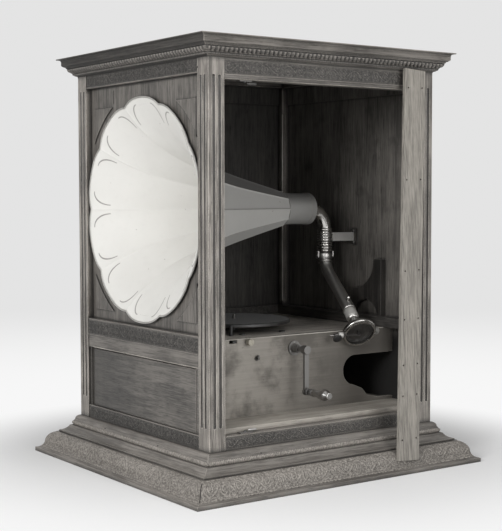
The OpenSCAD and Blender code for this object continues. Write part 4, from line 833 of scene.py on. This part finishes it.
def on_bell(s, f, petal, lift):
    """Point lifted off the middle of the sheet: positive is into the open mouth."""
    y, radius, slope = bell(s, f)
    size = np.hypot(bell_l, slope)
    y, radius = y - lift * slope / size, radius - lift * bell_l / size
    a = (petal * 2 + 1 + f) * half_turn
    return np.stack([radius * np.cos(a), y, horn_z + radius * np.sin(a)], axis=-1)


def past_rim(s, f, petal):
    """The way in which the sheet runs on past its rim."""
    slope = bell(s, f)[2]
    size = np.hypot(bell_l, slope)
    a = (petal * 2 + 1 + f) * half_turn
    return np.stack([slope / size * np.cos(a), -bell_l / size, slope / size * np.sin(a)], axis=-1)


def on_seam(s, f, width):
    """1 on the soldered seams between the petals."""
    return ridge((1 - np.abs(f)) * half_turn * bell(s, f)[1], width)


def taller(points):
    """The open mouth is a little taller than it is wide."""
    points = np.array(points)
    opened = smooth(-points[..., 1], 60, 290)
    points[..., 2] = horn_z + (points[..., 2] - horn_z) * (1 + 0.022 * opened)
    return points


one_petal = np.sin(np.linspace(-1, 1, 25)[:-1] * math.pi / 2)
all_round = np.tile(one_petal, petals)
petal_numbers = np.repeat(np.arange(petals), len(one_petal))
down_the_bell = 1 - (1 - np.linspace(0, 1, 70)) ** 1.35
rim_s = 1 - 0.2 * roll_r / bell_l
rim_roll = np.radians(np.linspace(60, -240, 14))
sheet_rows = [on_bell(s, all_round, petal_numbers, sheet_half + 0.45 * on_seam(s, all_round, 0.8))
              for s in down_the_bell]
for a in rim_roll:
    sheet_rows.append(on_bell(rim_s, all_round, petal_numbers, roll_r * math.sin(a))
                      + roll_r * (math.cos(a) - 1) * past_rim(rim_s, all_round, petal_numbers))
for s in down_the_bell[::-1]:
    sheet_rows.append(on_bell(s, all_round, petal_numbers, -sheet_half - 0.7 * on_seam(s, all_round, 1.6)))
sheet_rows = taller(sheet_rows)
front_rows = len(down_the_bell) + len(rim_roll)


def stoved(name, shade_of, top_shade=0.0):
    """Off-white stove enamel: cloudy with age, with painted shade grey in its corners and small chips down to
    the iron. shade_of darkens it all and top_shade darkens what faces up, both as painted shade."""
    enamel = Solid(name)
    cloud = enamel.noise(4.5, 4.0)
    fine = enamel.noise(60, 4.0).within(0.5, 0.75)
    chips = enamel.noise(95, 2.0).within(0.75, 0.77)
    tone = enamel.mix(shaded((0.70, 0.69, 0.66), shade_of), shaded((0.62, 0.61, 0.58), shade_of),
                      cloud.within(0.35, 0.75) * 0.7 + fine * 0.2)
    # Painted shade in the corners.
    tone = enamel.mix(tone, (0.30, 0.285, 0.26), enamel.shade_in_hollows(0.003) * 0.5)
    # Painted shade on what faces up.
    if top_shade:
        normal = enamel.node("ShaderNodeNewGeometry", output="Normal")
        up = enamel.node("ShaderNodeSeparateXYZ", {0: normal}, "Z")
        tone = enamel.mix(tone, (0.065, 0.063, 0.06), up.within(0.1, 0.8) * top_shade)
    return enamel.give(base_color=enamel.mix(tone, (0.18, 0.16, 0.14), chips * 0.5), roughness=0.55 + cloud * 0.12,
                       coat_weight=0.05, coat_roughness=0.45, normal=enamel.bump(enamel.noise(38, 3.0), 0.0004, 0.35))


def petal_skin(name, rows, coat):
    """One side of all ten petals."""
    return mesh_piece(name, rows, grid_faces(*rows.shape[:2], closed=True), coat, "cabinet")


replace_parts(petal_skin("petal_sheet", sheet_rows[:front_rows], stoved("horn_enamel", 1.0)), "horn_petals")
# The outside of the sheet takes a darker copy of the enamel, darker still on top: painted shade.
petal_skin("petal_backs", sheet_rows[front_rows - 1:], stoved("horn_back_enamel", 0.57, 0.8))

# A crease starts beside a seam and swings away from it on its way to the rim, one on each side of every notch.
steps, s_fine = 26, np.linspace(0.3, 1, 300)
swing = np.linspace(0, math.pi / 2, steps)
from_seam = math.radians(2.9) + math.radians(7.4) * (1 - np.cos(swing))
crease_r = (0.79 + 0.152 * np.sin(swing)) * mouth_r
crease_w = 0.9 + 0.7 * np.sin(np.linspace(0, math.pi, steps))
crease_points, crease_faces = [], []
for number in range(petals):
    for hand in (-1, 1):
        f_line = hand * (1 - from_seam / half_turn)
        s_line = np.array([np.interp(r, bell(s_fine, f)[1], s_fine) for r, f in zip(crease_r, f_line)])
        line = on_bell(s_line, f_line, number, sheet_half)
        off_sheet = on_bell(s_line, f_line, number, sheet_half + 1) - line
        beside = np.cross(headings(line), off_sheet)
        strip = np.stack([line + beside * crease_w[:, None] * k + off_sheet * h
                          for k, h in ((-1, 0.05), (-0.5, 0.32), (0.5, 0.32), (1, 0.05))], axis=1)
        crease_faces += grid_faces(steps, 4, start=len(crease_points))
        crease_points += strip.reshape(-1, 3).tolist()
# Each crease is a thin raised strip in grey: painted shade in the crease.
mesh_piece("petal_creases", taller(crease_points), crease_faces,
           mottled("crease_shade_grey", (0.22, 0.21, 0.20), (0.38, 0.365, 0.345), 120, 0.6, relief=(400, 0.0001, 0.5)),
           "cabinet")


# ---- Collar and elbow ----
# A turned and enamelled collar closes the throat. A nickel-plated elbow comes out of it through two turned
# rings and bends down into a ribbed sleeve. An iron bracket holds it to the back wall by two screws.
nickel = metal("nickel_plate", (0.60, 0.585, 0.56), 0.17)
dull_steel = metal("dull_steel", (0.36, 0.35, 0.34), 0.38, wear=1.0)
# The collar takes a darker copy of the enamel, darker on top: painted shade.
dress(stoved("collar_enamel", 0.34, 0.6), "horn_collar")
dress(nickel, "horn_elbow")
dress(metal("bracket_iron", (0.22, 0.215, 0.205), 0.42, wear=1.0), "elbow_bracket")
swivel_y, pipe_r, sleeve_r, bracket_face = 210.5, 15, 16.7, 276.9


def bead_ring(name, middle, axis, radius, thick, body):
    """A raised nickel ring turned on a tube: a half-round bead between two small steps."""
    outline = [(-thick, radius - 0.4), (-thick * 0.8, radius + 0.25)]
    outline += [(thick * 0.62 * math.sin(a), radius + 0.3 + thick * 0.55 * math.cos(a))
                for a in np.linspace(-1.4, 1.4, 9)]
    outline += [(thick * 0.8, radius + 0.25), (thick, radius - 0.4)]
    lathe(name, outline, middle, axis, nickel, body, 56)


def ribbed(length):
    """Outline of a sleeve with turned ribs, 6.1 mm apart, closed on the pipe at both ends."""
    ribs = [(t, sleeve_r + 1.5 * abs(math.sin(math.pi * t / 6.1)))
            for t in np.linspace(0.4, length - 0.4, int(length * 3))]
    return [(0, pipe_r - 0.4), (0.2, sleeve_r), *ribs, (length - 0.2, sleeve_r), (length, pipe_r - 0.4)]


lathe("elbow_sleeve", ribbed(36.6), (0, swivel_y, 483), (0, 0, 1), nickel, "cabinet", 56)
for i, y in enumerate((161.6, 166.0)):
    bead_ring(f"elbow_throat_ring_{i}", (0, y, horn_z), (0, 1, 0), pipe_r, 1.5, "cabinet")


def screw_head(name, middle, axis, radius, body, cut, domed=0.35):
    """A slotted steel screw head, seated at middle and facing along axis. cut turns its slot."""
    count = 23
    x, y = np.meshgrid(np.linspace(-1, 1, count), np.linspace(-1, 1, count), indexing="ij")
    u, w = x * np.sqrt(1 - y ** 2 / 2), y * np.sqrt(1 - x ** 2 / 2)
    c, s = math.cos(cut), math.sin(cut)
    h = domed * (1.05 - (u ** 2 + w ** 2)) - 0.3 * smooth(0.2 - np.abs(u * c + w * s), 0.0, 0.06)
    axis, side, other = square_to(axis)
    points = np.array(middle) + radius * (u[..., None] * side + w[..., None] * other + h[..., None] * axis)
    mesh_piece(name, points, grid_faces(count, count), dull_steel, body)


for i, level in enumerate((485, 513)):
    screw_head(f"bracket_screw_{i}", (26, bracket_face, level), (0, -1, 0), 3.6, "cabinet", 0.6 + i)


# ---- Swivel and tone arm ----
# The arm hangs from a nickel swivel under the elbow. It is one bent plated tube with a ring below its ball,
# a small lifting knob, and a matt sleeve next to the soundbox.
lathe("swivel_sleeve", ribbed(15.6), (0, swivel_y, 464.6), (0, 0, 1), nickel, "arm_swivel", 56)
dress(metal("swivel_nickel", (0.36, 0.35, 0.335), 0.3, wear=1.0), "arm_swivel")
dress(metal("worn_nickel", (0.53, 0.52, 0.50), 0.34, wear=0.8), "tone_arm")
knuckle = np.array([0, swivel_y, 454])
heading = math.radians(-17)
forward = np.array([math.cos(heading), math.sin(heading), 0])
slope_1, slope_2, slope_3 = 70, 31, 38.5


def slide_down(start, slope, length):
    """End of a straight length of tube, as distance forward and height."""
    a = math.radians(slope)
    return start + length * np.array([math.cos(a), -math.sin(a)])


def bend_down(start, slope, next_slope, radius):
    """End of a bend from one slope to the next."""
    a, b = math.radians(slope), math.radians(next_slope)
    sign = 1 if next_slope < slope else -1
    return start + sign * radius * np.array([math.sin(a) - math.sin(b), math.cos(a) - math.cos(b)])


def in_room(point):
    return knuckle + point[0] * forward + np.array([0, 0, point[1]])


def down_the_arm(slope):
    a = math.radians(slope)
    return math.cos(a) * forward - np.array([0, 0, math.sin(a)])


def off_the_arm(slope):
    a = math.radians(slope)
    return math.sin(a) * forward + np.array([0, 0, math.cos(a)])


bend_1 = slide_down(np.array([0.0, 0.0]), slope_1, 15)
bend_2 = slide_down(bend_down(bend_1, slope_1, slope_2, 50), slope_2, 133)
bend_2_end = bend_down(bend_2, slope_2, slope_3, 60)
box_back = in_room(slide_down(bend_2_end, slope_3, 63))
end_way = down_the_arm(slope_3)
bead_ring("arm_neck_ring", in_room(bend_1), down_the_arm(slope_1), 15.4, 1.6, "tone_arm")
lathe("lifting_knob", [(4.5, 0.2), (4.5, 3.0), (5.4, 4.0), (7.2, 4.6), (9.0, 4.4), (10.4, 3.2), (11.1, 1.6),
                       (11.3, 0.2)],
      in_room(bend_2) + 12.4 * off_the_arm(slope_2) - 6 * down_the_arm(slope_2), off_the_arm(slope_2),
      nickel, "tone_arm", 32)


def spun_metal():
    """Matt grey metal with the fine rings of a lathe."""
    sleeve = Solid("spun_sleeve")
    rings = sleeve.noise(700, 2.0)
    return sleeve.give(base_color=sleeve.mix((0.50, 0.49, 0.47), (0.34, 0.33, 0.31), sleeve.noise(60, 4.0)),
                       metallic=0.55, roughness=0.5 + rings * 0.15, normal=sleeve.bump(rings, 0.00005, 0.5))


spun = spun_metal()
lathe("arm_end_sleeve", [(8.0, 13.2), (8.4, 14.0), (11, 14.15), (29, 14.15), (31.4, 14.0), (32, 13.0)],
      in_room(bend_2_end), end_way, spun, "tone_arm", 64)


# ---- Soundbox ----
# The box that turns the needle's shake into sound: a plated case on the neck of the arm, a rim held by
# small screws, a rubber gasket, and a thin mica diaphragm with a waxed boss.
dress(metal("case_bronze", (0.115, 0.11, 0.10), 0.36, wear=1.0), "soundbox_case")
dress(metal("rim_nickel", (0.46, 0.45, 0.43), 0.22), "soundbox_rim")
box_side = np.array([-math.sin(heading), math.cos(heading), 0])
box_down = np.cross(box_side, end_way)
rim_screws, screw_ring, rim_face = 6, 35.3, 19.95


def on_box(x, y, depth):
    """Point on the soundbox: x down the box, y to its side, depth in front of its back."""
    return box_back + x * box_down + y * box_side + depth * end_way


lathe("gasket_ring", [(12.9, 30.2), (13.6, 30.3), (14.1, 31.2), (13.9, 32.2), (13.0, 32.4)], box_back, end_way,
      mottled("gasket_rubber", (0.012, 0.011, 0.010), (0.04, 0.037, 0.033), 200, 0.7, 4.0, (600, 0.00006, 0.6)),
      "soundbox", 72)
for i in range(rim_screws):
    a = math.radians(30 + 360 / rim_screws * i)
    screw_head(f"rim_screw_{i}", on_box(screw_ring * math.cos(a), screw_ring * math.sin(a), rim_face), end_way, 1.5,
               "soundbox", 0.5 + 1.1 * i, 0.3)


def mica_sheet():
    """Mica, nearly black over the dark box: flaked, with pale veins, and glossy."""
    mica = Solid("mica")
    flakes = mica.noise(75, 4.0, roughness=0.6, distortion=1.6)
    veins = mica.noise(260, 3.0).within(0.6, 0.72)
    tone = mica.mix((0.012, 0.011, 0.010), (0.040, 0.037, 0.033), flakes.within(0.35, 0.7))
    return mica.give(base_color=mica.mix(tone, (0.10, 0.095, 0.088), veins * 0.4), roughness=0.26 + flakes * 0.3,
                     coat_weight=0.25, coat_roughness=0.12, normal=mica.bump(flakes, 0.00025, 0.4))


dress(mica_sheet(), "diaphragm")


def lug_ring(depth, shrink):
    """Outline of the lug on the side of the case, at a depth. shrink rounds its two ends."""
    wide, low, high = 7 - shrink, 45.4 - shrink, 47.2 - shrink
    return np.array([on_box(x, y, depth) for x, y in (
        (1 - wide, 36.6), (-wide, 39), (-wide, low), (1.6 - wide, high),
        (wide - 1.6, high), (wide, low), (wide, 39), (wide - 1, 36.6))])


def closed_in(ring):
    middle = ring.mean(axis=0)
    return middle + 0.3 * (ring - middle)


lug = [lug_ring(8.2, 0.8), lug_ring(9.0, 0), lug_ring(16.0, 0), lug_ring(16.8, 0.8)]
lug = [closed_in(lug[0]), *lug, closed_in(lug[-1])]
mesh_piece("case_lug", lug, grid_faces(len(lug), 8, closed=True), spun, "soundbox")


# ---- Stylus and needle ----
# A steel bar rocks on knife edges over the rim. Its turned socket takes the needle, clamped by a knurled
# black screw.
dress(metal("bar_steel", (0.16, 0.155, 0.15), 0.45, wear=1.0), "stylus_bar")
dress(metal("needle_steel", (0.42, 0.41, 0.40), 0.22), "needle")


def knurl(along, angle):
    return 0.22 * np.sign(np.sin(28 * angle)) * (np.abs(along - 9.6) < 1.5)


knob_black = mottled("vulcanite", (0.004, 0.004, 0.004), (0.016, 0.015, 0.014), 160, 0.45,
                     relief=(500, 0.00005, 0.5), patchy=0.25)
dress(knob_black, "needle_screw")
needle_turn = math.radians(179)
needle_way = math.cos(needle_turn) * box_side - math.sin(needle_turn) * box_down
lathe("screw_knurl", [(7.7, 4.0), (7.9, 9.4), (8.3, 9.9), (8.9, 10.0), (9.6, 10.0), (10.3, 10.0), (11.0, 9.9),
                      (11.4, 9.4), (11.6, 4.0)],
      box_back + 58 * needle_way + 22.4 * end_way, end_way, knob_black, "needle_screw", 168, knurl)
lathe("needle_clamp", [(40.8, 0.3), (41, 4.6), (41.8, 6.2), (43.5, 6.8), (49.5, 6.8), (51.5, 6.2), (52.5, 4.6),
                       (52.6, 0.3)],
      box_back + 21.5 * end_way, needle_way, spun, "stylus", 40)


# ---- Turntable ----
# An iron plate in black stoving enamel, on a dark steel spindle. A disc of grey felt is glued over it,
# matted by use and flecked with lint.
def platter_felt():
    felt = Solid("platter_felt")
    nap = felt.noise(420, 4.0)
    matted = felt.noise(14, 4.0)
    lint = felt.noise(210, 2.0).within(0.66, 0.7)
    tone = felt.mix((0.010, 0.010, 0.0095), (0.026, 0.026, 0.024), matted * 0.7 + nap * 0.4)
    return felt.give(base_color=felt.mix(tone, (0.12, 0.115, 0.11), lint * 0.5), roughness=0.95, sheen_weight=0.08,
                     sheen_roughness=0.5, normal=felt.bump(nap + matted * 0.3, 0.0004, 0.8))


dress(black_enamel, "turntable_plate")
dress(metal("spindle_steel", (0.10, 0.098, 0.095), 0.5), "turntable_spindle")
dress(platter_felt(), "turntable_felt")


# ---- Spring motor ----
# A clockwork motor hangs under its board: black iron plates on pillars, a lacquered brass spring barrel, steel
# wheels with machined teeth, and a brass governor with three weights. Only its shadowed side is seen.
dress(japanned("motor_iron", (0.014, 0.0135, 0.013), 0.5), "motor_frame")
dress(metal("lacquered_brass", (0.40, 0.30, 0.13), 0.28, wear=0.8, tarnish=(0.09, 0.065, 0.03)),
      "spring_barrel", "governor")
dress(dull_steel, "winding_wheel")


# ---- Crank ----
# A forged arm on the winding shaft, turned by a bulged wooden grip that runs loose on its pin. The grip has
# a dark iron ferrule and a bright riveted cap.
dress(metal("crank_steel", (0.205, 0.2, 0.192), 0.46, wear=1.0, grain=0.00008), "crank_bush", "crank")
crank_y, crank_z, grip_x, grip_z = -6, 266, 209.3, 176
grip_foot, outwards = (grip_x, crank_y, grip_z), (1, 0, 0)
worm_x, bush_face, bush_screws_r = 47.4, 166, 12.6


def polished_grip():
    """Turned wood, stained black-brown and polished by hands."""
    wood = Solid("turned_grip")
    grain = wood.noise(150, 4.0, wood.stretched(0.15, 1, 1), 0.6, 0.5)
    handled = wood.noise(40, 3.0)
    tone = wood.mix((0.020, 0.018, 0.016), (0.085, 0.076, 0.067), grain.within(0.3, 0.75) * 0.7 + handled * 0.3)
    return wood.give(base_color=tone, roughness=0.26 + handled * 0.2, coat_weight=1.0, coat_roughness=0.1,
                     normal=wood.bump(grain, 0.00015, 0.5))


def thread(along, angle):
    return 0.5 * np.sin(angle + along * 2 * math.pi / 4.2)


bulge = [(28 + 44 * t, 7.1 + 5.8 * math.sin(math.pi * t ** 2.1)) for t in np.linspace(0.05, 0.97, 24)]
grip = lathe("grip_wood", [(22.3, 3.9), (22.3, 7.2), (23.2, 8.0), (25.0, 8.2), (26.5, 7.5), (28.0, 7.1), *bulge,
                           (73.2, 7.0), (74.4, 6.0), (74.8, 4.6), (74.8, 3.9)],
             grip_foot, outwards, polished_grip(), "crank_grip", 56)
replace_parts(grip, "crank_grip")
lathe("grip_ferrule", [(0, 3.9), (0, 6.4), (0.8, 7.0), (4.4, 7.1), (4.9, 7.7), (6.3, 7.7), (6.8, 7.1), (17.0, 7.1),
                       (17.5, 7.7), (18.9, 7.7), (19.4, 7.3), (22.0, 7.3), (22.4, 6.8), (22.4, 3.9)],
      grip_foot, outwards, black_enamel, "crank_grip", 48)
lathe("grip_cap", [(0, 6.6), (0.5, 7.0), (1.6, 6.7), (2.5, 5.2), (2.9, 2.9), (3.0, 0.1)],
      (grip_x + 75.7, crank_y, grip_z), outwards, metal("cap_nickel", (0.72, 0.71, 0.69), 0.32, wear=0.3), "crank",
      40)
lathe("crank_shaft_worm", [(k, 8.4) for k in np.linspace(0.2, 29.8, 90)], (worm_x, crank_y, crank_z), outwards,
      dull_steel, "crank", 40, thread)
for i, bearing in enumerate((90, 210, 330)):
    a = math.radians(bearing)
    middle = (bush_face, crank_y + bush_screws_r * math.cos(a), crank_z + bush_screws_r * math.sin(a))
    screw_head(f"bush_screw_{i}", middle, outwards, 2.2, "cabinet", i)


# ---- Stop lever, speed knob and hook ----
# Small fittings on the motor box: an iron brake lever in a pocket of the board, a pale turned knob that sets
# the speed, and a bent wire hook in a stained eye.
def aged_bone():
    """Bone, yellowed and finely cracked."""
    bone = Solid("aged_bone")
    crackle = bone.noise(300, 3.0).within(0.55, 0.7)
    yellowed = bone.noise(110, 4.0)
    tone = bone.mix(bone.mix((0.50, 0.47, 0.40), (0.30, 0.27, 0.21), yellowed), (0.14, 0.12, 0.09), crackle * 0.6)
    return bone.give(base_color=tone, roughness=0.38, coat_weight=0.3, coat_roughness=0.2,
                     normal=bone.bump(crackle + yellowed, 0.0002, 0.5))


dress(japanned("lever_black", (0.006, 0.006, 0.006), 0.62), "stop_lever")
dress(dull_steel, "lever_screw")
dress(metal("hook_wire", (0.12, 0.118, 0.112), 0.45, wear=1.0), "panel_hook")
dress(aged_bone(), "speed_knob")
